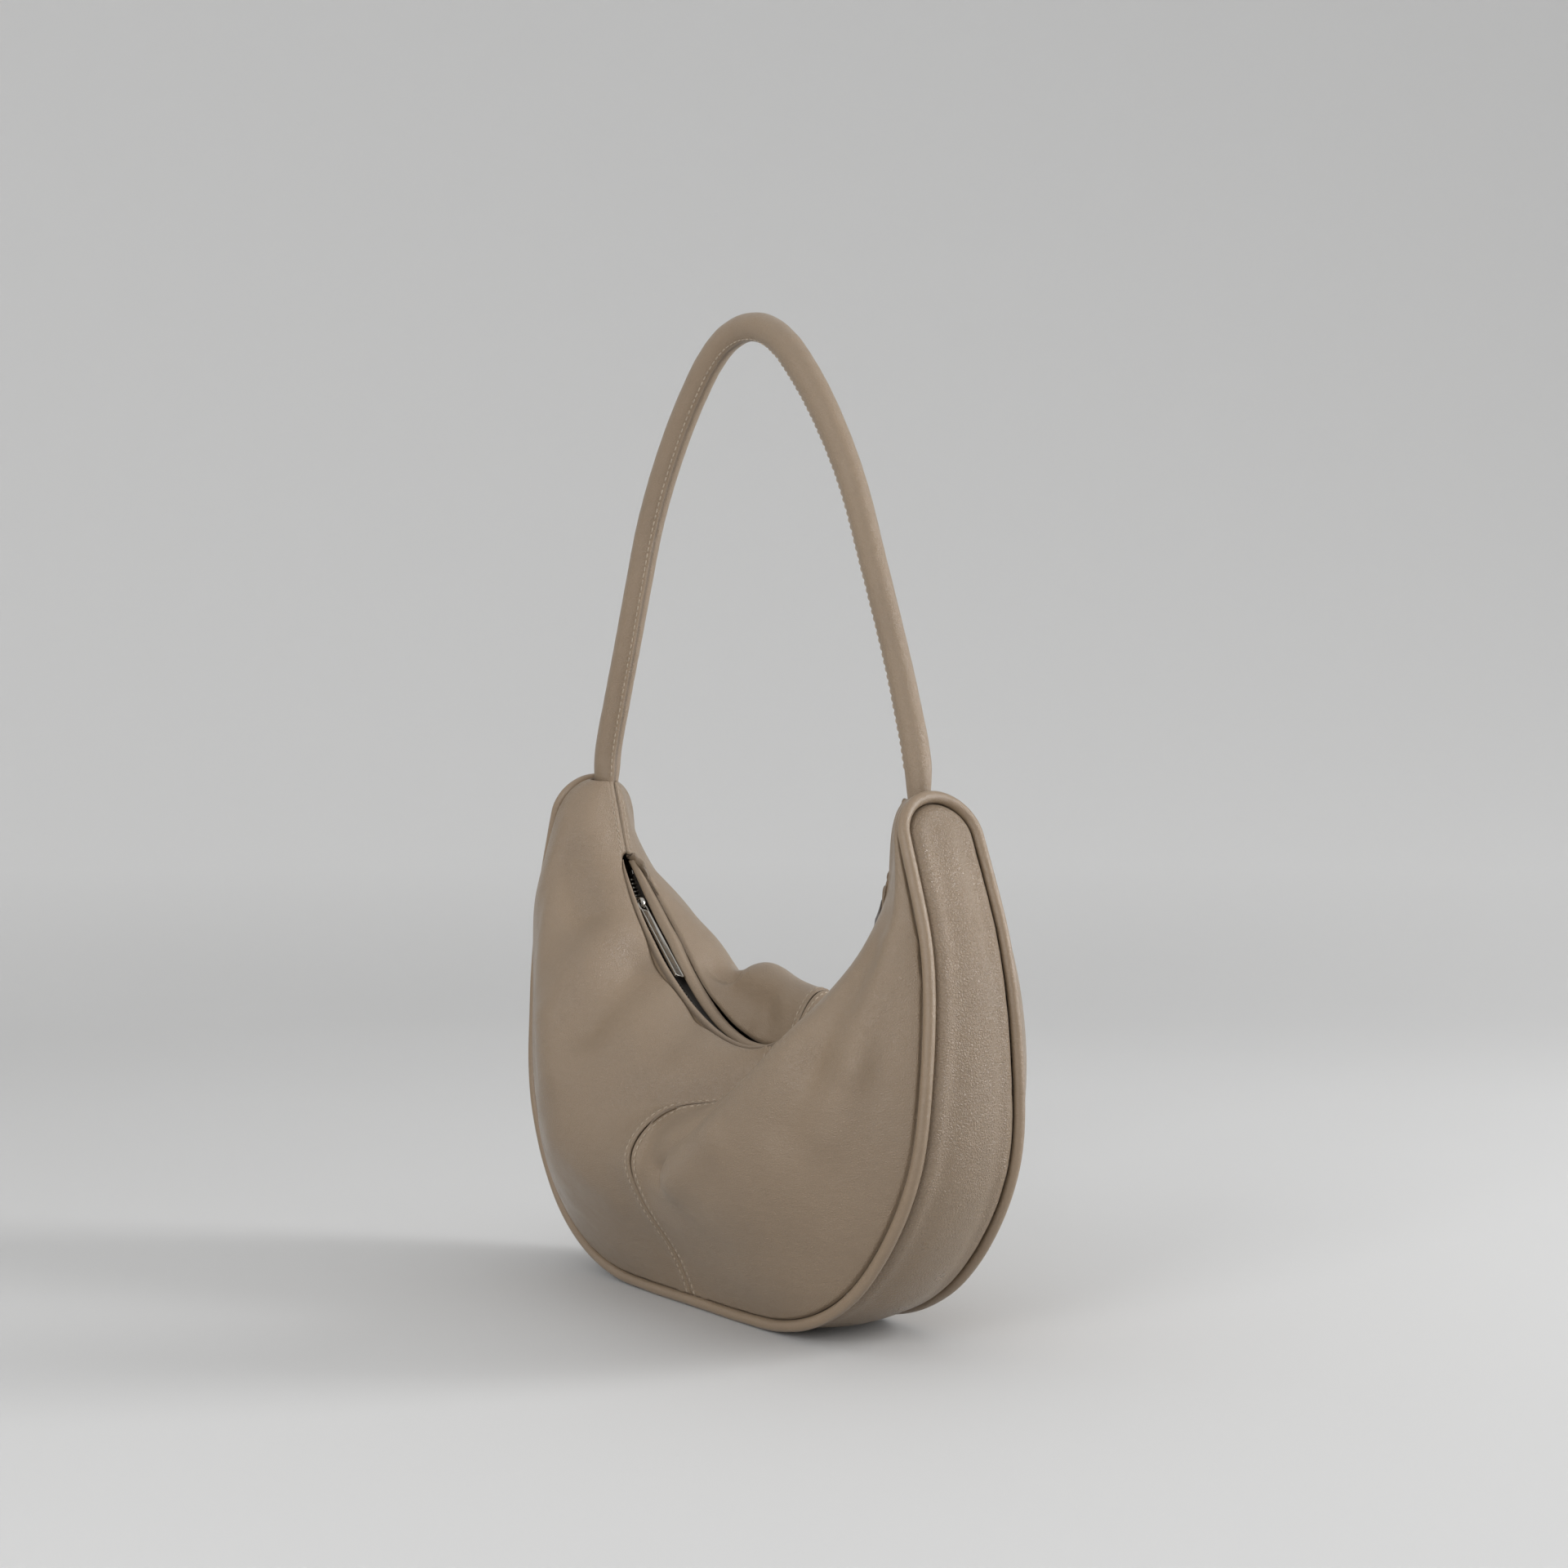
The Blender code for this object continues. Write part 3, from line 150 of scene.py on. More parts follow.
# Lip heights above the zip's arc and the zip's own sag, in millimetres, at shares of the opening
LIP_RISES = (
    (-1.0, 5.0, 5.0, 0.0), (-0.87, 9.0, 6.8, 0.0), (-0.78, 10.0, 8.0, 0.0), (-0.60, 10.0, 8.8, 0.0),
    (-0.39, 6.5, 2.5, -2.0), (-0.20, 1.0, -4.5, -8.0), (-0.06, -3.5, -8.0, -10.5),
    (0.06, -6.5, -8.5, -11.5), (0.18, -7.0, -5.5, -10.5), (0.32, -5.0, -2.0, -8.0),
    (0.47, -4.5, -3.6, -7.5), (0.61, -6.0, -4.8, -8.5), (0.72, -11.5, -6.0, -12.5),
    (0.85, -13.5, -9.0, -17.0), (0.95, -5.5, -7.5, -13.5), (1.0, 0.5, 0.5, -6.0),
)

# Soft creases and swellings, in millimetres: two ends of a line in space, its width and how far it stands
# out from the leather
CREASES = {
    "front": (
        ((-113, -30, 199), (-94, -33, 176), 12, -6.0),
        ((-58, -51, 124), (-62, -20, 150), 13, -6.6),
        ((-80, -47, 146), (-82, -22, 166), 11, 2.2),
        ((-18, -36, 115), (-28, -12, 126), 9, -2.6),
        ((-83, -58, 127), (-67, -65, 103), 12, 2.6),
        ((-122, -34, 128), (-108, -46, 96), 14, -2.6),
        ((-60, -64, 72), (-30, -58, 52), 14, 1.7),
        ((20, -63, 68), (48, -58, 92), 6, -4.4),
        ((37, -66, 66), (72, -66, 88), 9, 3.2),
        ((144, -29, 173), (141, -45, 124), 7, 2.6),
        ((141, -45, 124), (131, -50, 96), 9, 2.3),
        ((131, -38, 168), (123, -54, 126), 10, -3.5),
        ((123, -54, 126), (112, -60, 98), 11, -2.9),
        ((40, -60, 30), (100, -56, 40), 14, -2.0),
    ),
    "back": (
        ((-43, 20, 137), (-14, 21, 133), 8, -3.6),
        ((-56, 22, 150), (-40, 34, 128), 6, -5.1),
        ((-6, 16, 126), (4, 26, 124), 7, -2.4),
        ((-20, 16, 122), (-26, 26, 130), 7, -2.0),
        ((-104, 40, 150), (-70, 62, 110), 14, -3.6),
        ((52, 22, 148), (38, 36, 126), 7, -5.1),
        ((110, 36, 160), (80, 60, 104), 14, -3.6),
        ((30, 62, 40), (84, 60, 66), 16, -2.6),
    ),
}

# Wear that every piece follows: how far the left side has drawn in, round which place and how widely,
# how far the right horn has sunk and from which place, the rise of an even lip above the zip's arc, and
# how wide the front and the back welt have spread
LEFT_DRAW = 6.5 * MM
LEFT_DRAW_PLACE = -0.60
LEFT_DRAW_WIDTH = 0.22
RIGHT_HORN_DROP = 7.0 * MM
RIGHT_HORN_PLACE = 0.72
EVEN_RISE = 5.0 * MM
WELT_WIDTHS = (0.90, 1.34)

# Leather by its seams, in millimetres: how far it stands out, at what distance from the seam and how wide
STITCH_INSET = 3.1
CENTRE_SEAM = ((-0.5, 0.0, 0.55), (0.35, STITCH_INSET, 2.6), (-0.22, STITCH_INSET, 0.55))
HORN_SEAM = ((-0.6, 0.0, 0.7), (0.30, STITCH_INSET, 2.2), (-0.22, STITCH_INSET, 0.5))
LIP_ROLL = ((-1.5, 0.0, 1.3),)
PIPING_SEAM = ((-1.0, 0.0, 1.1),)
GUSSET_SEAM = ((-0.9, 0.0, 1.2),)
GUSSET_RIDGE = ((0.75, 4.6, 2.6),)
GUSSET_HOLLOW = ((-0.6, 10.0, 4.0),)

# How far the gusset's middle stands out at the base and up its sides, the share of the height at which
# it is free of the floor, and its slow waves: how high, and how long and wide to a radian
GUSSET_CROWNS = (3.6 * MM, 5.0 * MM)
GUSSET_FREE = 0.25
GUSSET_WAVE = (0.35 * MM, 19.0 * MM, 9.0 * MM)

# Puckers along a seam: how high, how many millimetres to a radian, and where they start
PANEL_PUCKERS = ((1.0, 2.3, 0.0), (0.7, 3.7, 1.3), (0.5, 1.4, 0.0))
GUSSET_PUCKERS = ((1.0, 2.1, 0.0), (0.6, 3.3, 0.7))

# A welt's section in millimetres: how far from the zip's middle, how much of its height follows the lip,
# and a height above the lip or the tape
WELT_SECTION = (
    (8.75, 1.0, -1.9), (8.45, 1.0, -0.9), (7.9, 1.0, -0.25), (7.0, 1.0, 0.1), (6.0, 1.0, 0.05),
    (5.1, 1.0, -0.35), (4.45, 1.0, -1.0), (4.2, 1.0, -1.8), (4.5, 1.0, -2.6), (5.2, 1.0, -3.0),
    (6.1, 1.0, -3.2), (6.75, 1.0, -3.7), (7.2, 0.5, 0.0), (7.4, 0.0, 2.0), (7.3, 0.0, 0.9),
    (7.7, 0.0, 0.5), (8.4, 0.0, 0.6), (8.9, 0.0, 1.6), (8.9, 0.5, 0.0), (8.9, 1.0, -3.0),
)

# The tape's section in millimetres: how far from the teeth's meshed line, and its height. Then how far
# the front and the back tape reach at most
TAPE_SECTION = (
    (2.1, -0.30), (2.0, 0.0), (2.1, 0.35), (2.6, 0.62), (3.2, 0.58), (3.7, 0.36), (5.0, 0.32),
    (7.4, 0.32), (9.6, 0.30), (9.6, -0.30), (7.4, -0.32), (5.0, -0.32), (3.7, -0.36), (2.6, -0.6),
)
TAPE_REACHES = {-1: 7.5 * MM, 1: 9.7 * MM}

# Where the tapes, the stops and the rows of teeth end, as angles of the zip's arc
TAPE_END = math.radians(66.5)
STOPS_AT = math.radians(65.5)
TEETH_END = math.radians(64.4)

# Stations along a tooth in millimetres: how far it reaches past the middle, half its length and its height
TOOTH = (
    (0.55, 0.30, 0.55), (0.30, 0.52, 0.85), (-0.15, 0.56, 0.95), (-0.75, 0.36, 0.92), (-1.3, 0.42, 1.05),
    (-2.1, 0.52, 1.1), (-2.6, 0.40, 0.85),
)
TOOTH_PITCH = 2.2 * MM

# Stations along a stitch: shares of half its length and of the thread's radius
STITCH = ((-1.0, 0.25), (-0.86, 0.75), (-0.45, 1.0), (0.0, 1.0), (0.45, 1.0), (0.86, 0.75), (1.0, 0.25))

# The middle line of the slider's crown and of the puller's stirrup, in millimetres
CROWN = (
    (-3.0, 1.9), (-2.75, 4.2), (-2.3, 6.1), (-1.2, 7.25), (0.0, 7.45), (1.2, 7.25), (2.3, 6.1),
    (2.75, 4.2), (3.0, 1.9),
)
STIRRUP = ((5.7, -2.35), (0.9, -2.35), (0.0, -1.45), (0.0, 1.45), (0.9, 2.35), (5.7, 2.35))

# How the puller hangs: its pivot over the tape in millimetres, and how far it is lifted off the zip and
# rolled to the back
PULLER_PIVOT = (0.0, 0.0, 5.2)
PULLER_LIFT = math.radians(12.0)
PULLER_ROLL = math.radians(-20.0)

# The handle's lapped seam: the point of the section where it lies, the way that this faces, how far it
# winds round, how high the upper edge stands and how deep the groove before it is
LAP_COLUMN = 5
LAP_FACES = math.radians(150.0)
LAP_WINDS = math.radians(16.0)
LAP_HEIGHT = 0.8 * MM
LAP_GROOVE = 0.35 * MM

# Waves in wrapped leather: how high, how many metres to a radian, and the same for their drift
PIPING_WAVE = (0.05 * MM, 5.3 * MM, 31.0 * MM)
SLEEVE_WAVE = (0.05 * MM, 1.9 * MM, 13.0 * MM)


# Sizes, colours and settings in the sidebar


def a_length(name, description, millimetres):
    return FloatProperty(name=name, description=description, default=millimetres * MM, unit="LENGTH")


def an_angle(name, description, degrees):
    return FloatProperty(name=name, description=description, default=math.radians(degrees), subtype="ANGLE")


def a_power(name, description, watts):
    return FloatProperty(name=name, description=description, default=watts, unit="POWER")


def a_colour(name, description, *channels):
    return FloatVectorProperty(name=name, description=description, default=channels, subtype="COLOR")


class BagSizes(bpy.types.PropertyGroup):
    """The sizes that the bag is cut to."""

    half_length: a_length("Half length", "From the bag's middle to the piping's centre at its widest", 161.7)
    height: a_length("Height", "From the floor to the centre of the piping at the tip of a horn", 239.5)
    gusset_half_width: a_length("Gusset half width", "Half the width of the gusset at the base", 28.5)
    panel_depth: a_length("Panel depth", "How deep the control points of the bulge lie", 108.0)
    piping_radius: a_length("Piping radius", "Radius of the covered cord in the seams", 2.6)
    leather: a_length("Leather", "Thickness of the leather", 1.3)
    zip_radius: a_length("Zip radius", "Radius of the arc that the slider follows", 116.8)
    zip_axis_rise: a_length("Zip axis rise", "How far the arc's axis lies above the tips of the horns", 1.5)
    lip_half_width: a_length("Lip half width", "From the middle of the zip to the edge of a panel", 8.4)
    handle_root: a_length("Handle root", "From the middle of the bag to a root of the handle", 122.9)
    handle_pivot_rise: a_length("Handle pivot rise", "From the horns' tips up to the line of the fold", 13.0)
    handle_rise: a_length("Handle rise", "From the line that the handle folds about to its top", 194.5)
    handle_radius: a_length("Handle radius", "Radius of the rolled handle", 6.25)
    stitch_length: a_length("Stitch length", "Length of one topstitch", 2.3)
    stitch_pitch: a_length("Stitch pitch", "From one topstitch to the next", 3.2)
    thread_radius: a_length("Thread radius", "Radius of the sewing thread", 0.32)


class BagColours(bpy.types.PropertyGroup):
    """The colours of the bag's leather, cloth, thread and metal."""

    leather: a_colour("Leather", "Colour of the panels and the gusset", 0.236, 0.172, 0.114)
    piping: a_colour("Piping", "Colour of the piping", 0.242, 0.175, 0.115)
    handle: a_colour("Handle", "Colour of the rolled handle", 0.252, 0.184, 0.122)
    thread: a_colour("Thread", "Colour of the topstitching", 0.37, 0.300, 0.225)
    lining: a_colour("Lining", "Colour of the woven lining", 0.060, 0.046, 0.036)
    tape: a_colour("Zip tape", "Colour of the woven zip tape", 0.045, 0.036, 0.029)
    teeth: a_colour("Zip teeth", "Colour of the plated teeth", 0.42, 0.41, 0.38)
    nickel: a_colour("Nickel", "Colour of the slider and the puller", 0.43, 0.415, 0.385)


class StageSettings(bpy.types.PropertyGroup):
    """The studio round the bag."""

    camera_turn: an_angle("Camera turn", "How far the camera stands to the right of the front", 55.5)
    camera_distance: a_length("Camera distance", "From the bag to the camera, along the floor", 1090.0)
    camera_height: a_length("Camera height", "Height of the camera above the floor", 243.0)
    camera_tilt: an_angle("Camera tilt", "How far the camera looks down", 0.3)
    camera_yaw: an_angle("Camera yaw", "How far the camera looks past the middle of the bag", -0.9)
    lens: FloatProperty(name="Lens", description="Focal length in mm, on a sensor 36 mm wide", default=54.375)
    floor_colour: a_colour("Floor colour", "Colour of the seamless paper", 0.655, 0.657, 0.658)
    overhead_power: a_power("Overhead power", "Power of the light over the bag", 3.0)
    left_power: a_power("Left power", "Power of the light at the camera's left", 16.0)
    right_power: a_power("Right power", "Power of the light at the camera's right", 36.0)
    ambient: FloatProperty(name="Ambient", description="Strength of the even light all round", default=0.82)


# Curves and grids


def unit(vectors):
    return vectors / np.linalg.norm(vectors, axis=-1, keepdims=True)


def squared_to(vectors, ahead):
    """Unit vectors made square to the unit vectors ahead."""
    return unit(vectors - ahead * np.sum(vectors * ahead, axis=-1, keepdims=True))


def in_space(x, z, y=0.0):
    """Points or directions from their X and Z, with one Y."""
    return np.stack(np.broadcast_arrays(x, y, z), axis=-1)


def running(grid, axis=0):
    """The distance run from the start of each line of a grid, along its rows' or its columns' axis."""
    first = np.take(grid, [0], axis=axis)
    return np.cumsum(np.linalg.norm(np.diff(grid, axis=axis, prepend=first), axis=-1), axis=axis)


def both_sides(half, turned=1):
    """A line from the bag's middle to its right end, led to its left end too."""
    half = np.asarray(half, float)
    return np.concatenate([half[:0:-1] * turned, half])


def cubic(u, span, points, slopes, i):
    """Points at shares u of the cubic pieces that lead from point i to the next."""
    start = (2 * u**3 - 3 * u**2 + 1) * points[i] + (u**3 - 2 * u**2 + u) * span * slopes[i]
    return start + (3 * u**2 - 2 * u**3) * points[i + 1] + (u**3 - u**2) * span * slopes[i + 1]


def smooth_path(points, samples):
    """A curve through the points: cubic between them, its slopes by central differences over chords."""
    points = np.asarray(points, float)
    chord = running(points)
    slopes = np.gradient(points, chord, axis=0, edge_order=2)
    fine = np.linspace(0.0, chord[-1], samples)
    i = np.clip(np.searchsorted(chord, fine, side="right") - 1, 0, len(chord) - 2)
    span = (chord[i + 1] - chord[i])[:, None]
    return cubic((fine - chord[i])[:, None] / span, span, points, slopes, i)


def spline_weights(knots, shares):
    """Weights of evenly spaced points of such a curve, at shares of its run."""
    points = np.eye(knots)
    run = np.asarray(shares) * (knots - 1)
    i = np.clip(run.astype(int), 0, knots - 2)
    return cubic((run - i)[:, None], 1.0, points, np.gradient(points, axis=0, edge_order=2), i)


def at(along, curve, distance):
    """The curve's point at each distance, straight between its samples."""
    return np.stack([np.interp(distance, along, line) for line in curve.T], axis=-1)


def averaged(line, reach, **beyond):
    """A line averaged by a raised cosine that reaches so many samples each way."""
    kernel = np.hanning(2 * reach + 1)
    return np.convolve(np.pad(line, reach, **beyond), kernel / kernel.sum(), mode="valid")


def rows_at(rows, place):
    """The columns of a table at each place, on straight lines averaged over a twelfth of the table."""
    rows = np.asarray(rows, float)
    fine = np.linspace(rows[0, 0], rows[-1, 0], 801)
    lines = [averaged(np.interp(fine, rows[:, 0], column), 31, mode="edge") for column in rows.T[1:]]
    return at(fine, np.stack(lines, axis=1), place)


def table(rows, place):
    """A smooth value between the rows of a table of shares."""
    fine = smooth_path(rows, 801)
    return at(fine[:, 0], fine[:, 1:], place)


def grid_normals(grid):
    """Unit normals of an (n, m, 3) grid: along its rows crossed with across them."""
    normal = np.cross(np.gradient(grid, axis=0), np.gradient(grid, axis=1))
    return normal / np.maximum(np.linalg.norm(normal, axis=-1, keepdims=True), 1e-12)


def smoothed(grid, turns):
    """The grid with its inside points moved towards the mean of their neighbours, a number of times."""
    grid = grid.copy()
    for _ in range(turns):
        mean = grid[:-2, 1:-1] + grid[2:, 1:-1] + grid[1:-1, :-2] + grid[1:-1, 2:]
        grid[1:-1, 1:-1] += 0.5 * (mean / 4 - grid[1:-1, 1:-1])
        grid[0, 1:-1] += 0.5 * ((grid[0, :-2] + grid[0, 2:]) / 2 - grid[0, 1:-1])
    return grid


def ramp(value, low, high):
    """0 below low, 1 above high, and smooth between."""
    share = np.clip((value - low) / (high - low), 0, 1)
    return share**2 * (3 - 2 * share)


def bell(value, width):
    return np.exp(-((value / width) ** 2))


def bells(distance, rows):
    """Bells added up across a distance: how high each stands, where and how wide, in millimetres."""
    return sum(high * MM * bell(distance - place * MM, width * MM) for high, place, width in rows)


def ripples(run, rows):
    """Sines added up along a run: how high each is, its millimetres to a radian and its start."""
    return sum(high * np.sin(run / (long * MM) + start) for high, long, start in rows)


def wavering(run, high, long, drift):
    """A sine along a run, its phase stirred by a longer one."""
    return high * np.sin(run / long + 2 * np.sin(run / drift))


def turned(points, angle, first=0, second=2):
    """Points turned by an angle from one axis towards another."""
    points = np.array(points, float)
    a, b = points[..., first].copy(), points[..., second].copy()
    points[..., first] = a * math.cos(angle) - b * math.sin(angle)
    points[..., second] = a * math.sin(angle) + b * math.cos(angle)
    return points


class Shape:
    """The lines that the pieces share, worked out once from the sizes."""

    gap = 0.3 * MM
    seam_gap = 0.3 * MM
    tongue_round = 18.0 * MM
    tongue_ease = 0.2 * MM
    opening_end = math.radians(70.0)
    opening_squareness = 6
    lip_samples = 241
    seam_samples = 61
    slider_rest = math.radians(-55.8)
    slider_half_length = 5.5 * MM
    parting_most = 2.1 * MM
    parting_share = 0.64
    horn_top_x = 117.0 * MM
    horn_top_drop = 1.5 * MM

    def __init__(self, sizes):
        self.sizes = sizes
        self.base = sizes.piping_radius + self.gap
        rise = sizes.height - self.base
        half = [(x * sizes.half_length, self.base + z * rise) for x, z in OUTLINE_SHARES]
        self.outline = smooth_path(both_sides(half, (-1, 1)), 1601)
        self.outline_along = running(self.outline)
        self.half_outline = self.outline_along[-1] / 2
        self.tongue_start = 1 - self.tongue_round / self.half_outline
        self.axis_height = sizes.height + sizes.zip_axis_rise
        self.pivot_height = sizes.height + sizes.handle_pivot_rise
        self.lip_angles = np.linspace(-self.opening_end, self.opening_end, 2 * self.lip_samples - 1)
        along = running(self.lip_line(EVEN_RISE))
        self.close = 1 - 2 * along[self.seam_samples - 1] / along[-1]

    def outline_at(self, place):
        """The (x, z) point of the outline from -1, the left horn, to 1, the right horn, settled: the
        left side has drawn in and the right horn has sunk."""
        place = np.asarray(place, float)
        point = at(self.outline_along, self.outline, self.half_outline * (1 + place))
        drawn_in = LEFT_DRAW * bell(place - LEFT_DRAW_PLACE, LEFT_DRAW_WIDTH)
        sunk = RIGHT_HORN_DROP * ramp(place, RIGHT_HORN_PLACE, 1.0)
        return point + np.stack([drawn_in, -sunk], axis=-1)

    def outward_at(self, place):
        """The outline's unit normal in XZ, away from the bag."""
        step = 0.002
        place = np.asarray(place, float)
        ahead = self.outline_at(np.clip(place + step, -1, 1)) - self.outline_at(np.clip(place - step, -1, 1))
        return unit(ahead)[..., ::-1] * (1, -1)

    def full_half_width(self, place):
        share = (self.outline_at(place)[..., 1] - self.base) / (self.sizes.height - self.base)
        return self.sizes.gusset_half_width * table(GUSSET_WIDTH_SHARES, share)[..., 0]

    def roundness(self, place):
        """0 along the sides, 1 at the tip of the tongue."""
        return np.clip((np.abs(place) - self.tongue_start) / (1 - self.tongue_start), 0, 1)

    def piping_half_width(self, place):
        """Half the width between the two pipings: a quarter ellipse closes it at the tip."""
        return self.full_half_width(place) * np.sqrt(1 - self.roundness(place) ** 2)

    def band_stations(self, inset, last_angle, straight, tip):
        """Places along the gusset, its half widths, and how far its ends, rounded like tongues, have
        turned in there."""
        ease = self.tongue_ease if inset else 0.0
        start, end = self.tongue_start, 1 - (inset + ease) / self.half_outline
        angle = np.linspace(0.0, last_angle, tip + 1)[1:]
        place = np.concatenate([np.linspace(0.0, start, straight), start + (end - start) * np.sin(angle)])
        closing = np.concatenate([np.zeros(straight), angle])
        half_width = (self.full_half_width(place) - inset - ease * np.sin(closing)) * np.cos(closing)
        return both_sides(place, -1), both_sides(half_width), both_sides(closing)

    def zip_point(self, angle, y, height):
        """A point by the zip: angle from straight below the axis, y, and height above the arc."""
        radius = self.sizes.zip_radius - height
        return in_space(radius * np.sin(angle), self.axis_height - radius * np.cos(angle), y)

    def opening(self, angle):
        """How open the slit is: 1 in the middle, and 0 where it closes at each end."""
        share = np.clip(np.abs(angle) / self.opening_end, 0, 1)
        return np.sqrt(1 - share**self.opening_squareness)

    def rises(self, angle):
        """Heights of the front lip, the back lip and the zip's tape above the arc."""
        return rows_at(LIP_RISES, np.asarray(angle) / self.opening_end).T * MM

    def parting(self, angle):
        """How far a row of teeth stands from its meshed place, ahead of the slider."""
        reach = self.slider_half_length / self.sizes.zip_radius
        behind, ahead = self.slider_rest + reach, self.slider_rest - reach * self.parting_share
        return self.parting_most * ramp(-angle, -behind, -ahead)

    def lip_line(self, rise, drop=0.0, widen=1.0):
        """A panel's whole top edge from the left horn to the right: up each horn seam on a quadratic
        curve, and along the lip at its rise between them. The right horn has sunk by the drop."""
        half = (self.sizes.lip_half_width * widen + self.gap) * self.opening(self.lip_angles)
        lip = self.zip_point(self.lip_angles, -(self.seam_gap / 2 + half), rise)
        share = np.linspace(0.0, 1.0, self.seam_samples)[1:, None]
        seams = []
        for end, foot in ((-1, lip[0]), (1, lip[-1])):
            height = self.sizes.height - self.horn_top_drop - (drop if end > 0 else 0.0)
            top = np.array([end * self.horn_top_x, -self.seam_gap / 2, height])
            tangent = np.array([end * math.cos(self.opening_end), 0.0, math.sin(self.opening_end)])
            control = foot + tangent * np.linalg.norm(top - foot) / 2
            seams.append((1 - share) ** 2 * foot + 2 * share * (1 - share) * control + share**2 * top)
        return np.concatenate([seams[0][::-1], lip, seams[1]])

    def lip_at(self, lip, places, drift=0.0):
        """The lip's point at each place, from -1 to 1. The slit closes at the same places on every
        panel, and place 0 lies at the drift from the lip's middle."""
        along = running(lip)
        first, middle = along[self.seam_samples - 1], along[self.seam_samples + self.lip_samples - 2]
        last = along[self.seam_samples + 2 * self.lip_samples - 3]
        marks = (0.0, first, middle + drift, last, along[-1])
        return at(along, lip, np.interp(places, (-1.0, -self.close, 0.0, self.close, 1.0), marks))


# Panels


def panel_edges(shape, side, end, places, drift):
    """A half panel's edge by the piping, then its lip as sewn and as worn."""
    column = 0 if side == "front" else 1
    even = shape.lip_line(EVEN_RISE, RIGHT_HORN_DROP)
    worn = shape.lip_line(shape.rises(shape.lip_angles)[column], RIGHT_HORN_DROP, WELT_WIDTHS[column])
    base, outward = shape.outline_at(places * end), shape.outward_at(places * end)
    leave, leaving = shape.sizes.piping_radius + 0.12 * MM, math.radians(32.0)
    inward, forward = leave * math.cos(leaving), leave * math.sin(leaving)
    tip = shape.roundness(places)
    half_width = shape.piping_half_width(places * end) + forward * np.sqrt(1 - tip**2)
    beyond = outward[:, ::-1] * (-1, 1) * (forward * tip * end)[:, None]
    x, z = (base - outward * inward + beyond).T
    start = in_space(x, z, -np.maximum(half_width, shape.seam_gap / 2))
    return start, shape.lip_at(even, places * end), shape.lip_at(worn, places * end, drift)


def half_panel(shape, side, end, places, shares, sewn=True):
    """Half a panel's outer surface, its normals, and the distances from the piping, to the lip and from
    the centre seam. Each section is a smooth curve through seven points: the piping's edge, five points
    of the even bulge moved by the slouch, and the lip. The centre seam drifts to the right towards its
    top. Creases move the surface along its normals."""
    drift = np.array(SEAM_DRIFT[side]) * MM
    start, even, finish = panel_edges(shape, side, end, places, drift[-1])
    depth_1, depth_2, reach_1, reach_2 = table(BULGE_SHARES, places).T[..., None]
    t = np.linspace(0.0, 1.0, 7)[None, 1:-1]
    early, late = 3 * (1 - t) ** 2 * t, 3 * (1 - t) * t**2
    reach = early * reach_1 + late * reach_2 + t**3
    middle = start[:, None] + (even - start)[:, None] * reach[..., None]
    middle[..., 0] += drift[:-1] * np.clip(1 - places / shape.close, 0, 1)[:, None]
    middle[..., 1] = (1 - t) ** 3 * start[:, None, 1] + t**3 * even[:, None, 1]
    middle[..., 1] -= (early * depth_1 + late * depth_2) * shape.sizes.panel_depth
    slouch = rows_at(SLOUCH[side, end], places) * MM
    middle[..., 1] -= slouch[:, 0::2]
    middle[..., 2] += slouch[:, 1::2]
    knots = np.concatenate([start[:, None], eased(places, middle), finish[:, None]], axis=1)
    grid = smoothed(np.einsum("sk,pkc->psc", spline_weights(7, shares), knots), 24)
    facing = -1 if side == "front" else 1
    grid = grid * (1, -facing, 1)
    normal = grid_normals(grid)
    if normal[grid.shape[0] // 3, grid.shape[1] // 2, 1] * facing < 0:
        normal = -normal
    push = crease_push(grid, side)
    from_start, from_seam = running(grid, 1), running(grid, 0)
    to_lip = from_start[:, -1:] - from_start
    shared = np.cross(np.gradient(grid[0], axis=0), (1.0, 0.0, 0.0))
    shared = unit(shared * np.sign(np.sum(shared * normal[0], axis=-1, keepdims=True)))
    normal = unit(normal + (shared - normal) * bell(from_seam, 7.0 * MM)[..., None])
    if sewn:
        push += sewing(shape, places, from_start, to_lip, from_seam)
    grid = grid + normal * push[..., None]
    if sewn:
        grid[0, :, 0] += end * shape.gap / 8
    return grid, normal, from_start, to_lip, from_seam


def crease_push(grid, side):
    """How far the creases stand out at each point: a bell across each line."""
    push = np.zeros(grid.shape[:2])
    for first, last, width, high in CREASES[side]:
        first, last = np.array(first) * MM, np.array(last) * MM
        line = last - first
        share = np.clip((grid - first) @ line / (line @ line), 0, 1)
        away = np.linalg.norm(grid - (first + share[..., None] * line), axis=-1)
        push += high * MM * bell(away, width * MM)
    return push


def eased(places, knots):
    """Knots averaged along the panel by a raised cosine over a seventh of it, except at its two ends."""
    fine = np.linspace(0.0, 1.0, 601)
    flat = knots.reshape(len(places), -1)
    lines = [np.interp(fine, places, column) for column in flat.T]
    lines = [averaged(line, 41, mode="reflect", reflect_type="odd") for line in lines]
    even = at(fine, np.stack(lines, axis=1), places)
    share = (ramp(places, 0.0, 0.10) * (1 - ramp(places, 0.88, 0.97)))[:, None]
    return (flat + (even - flat) * share).reshape(knots.shape)


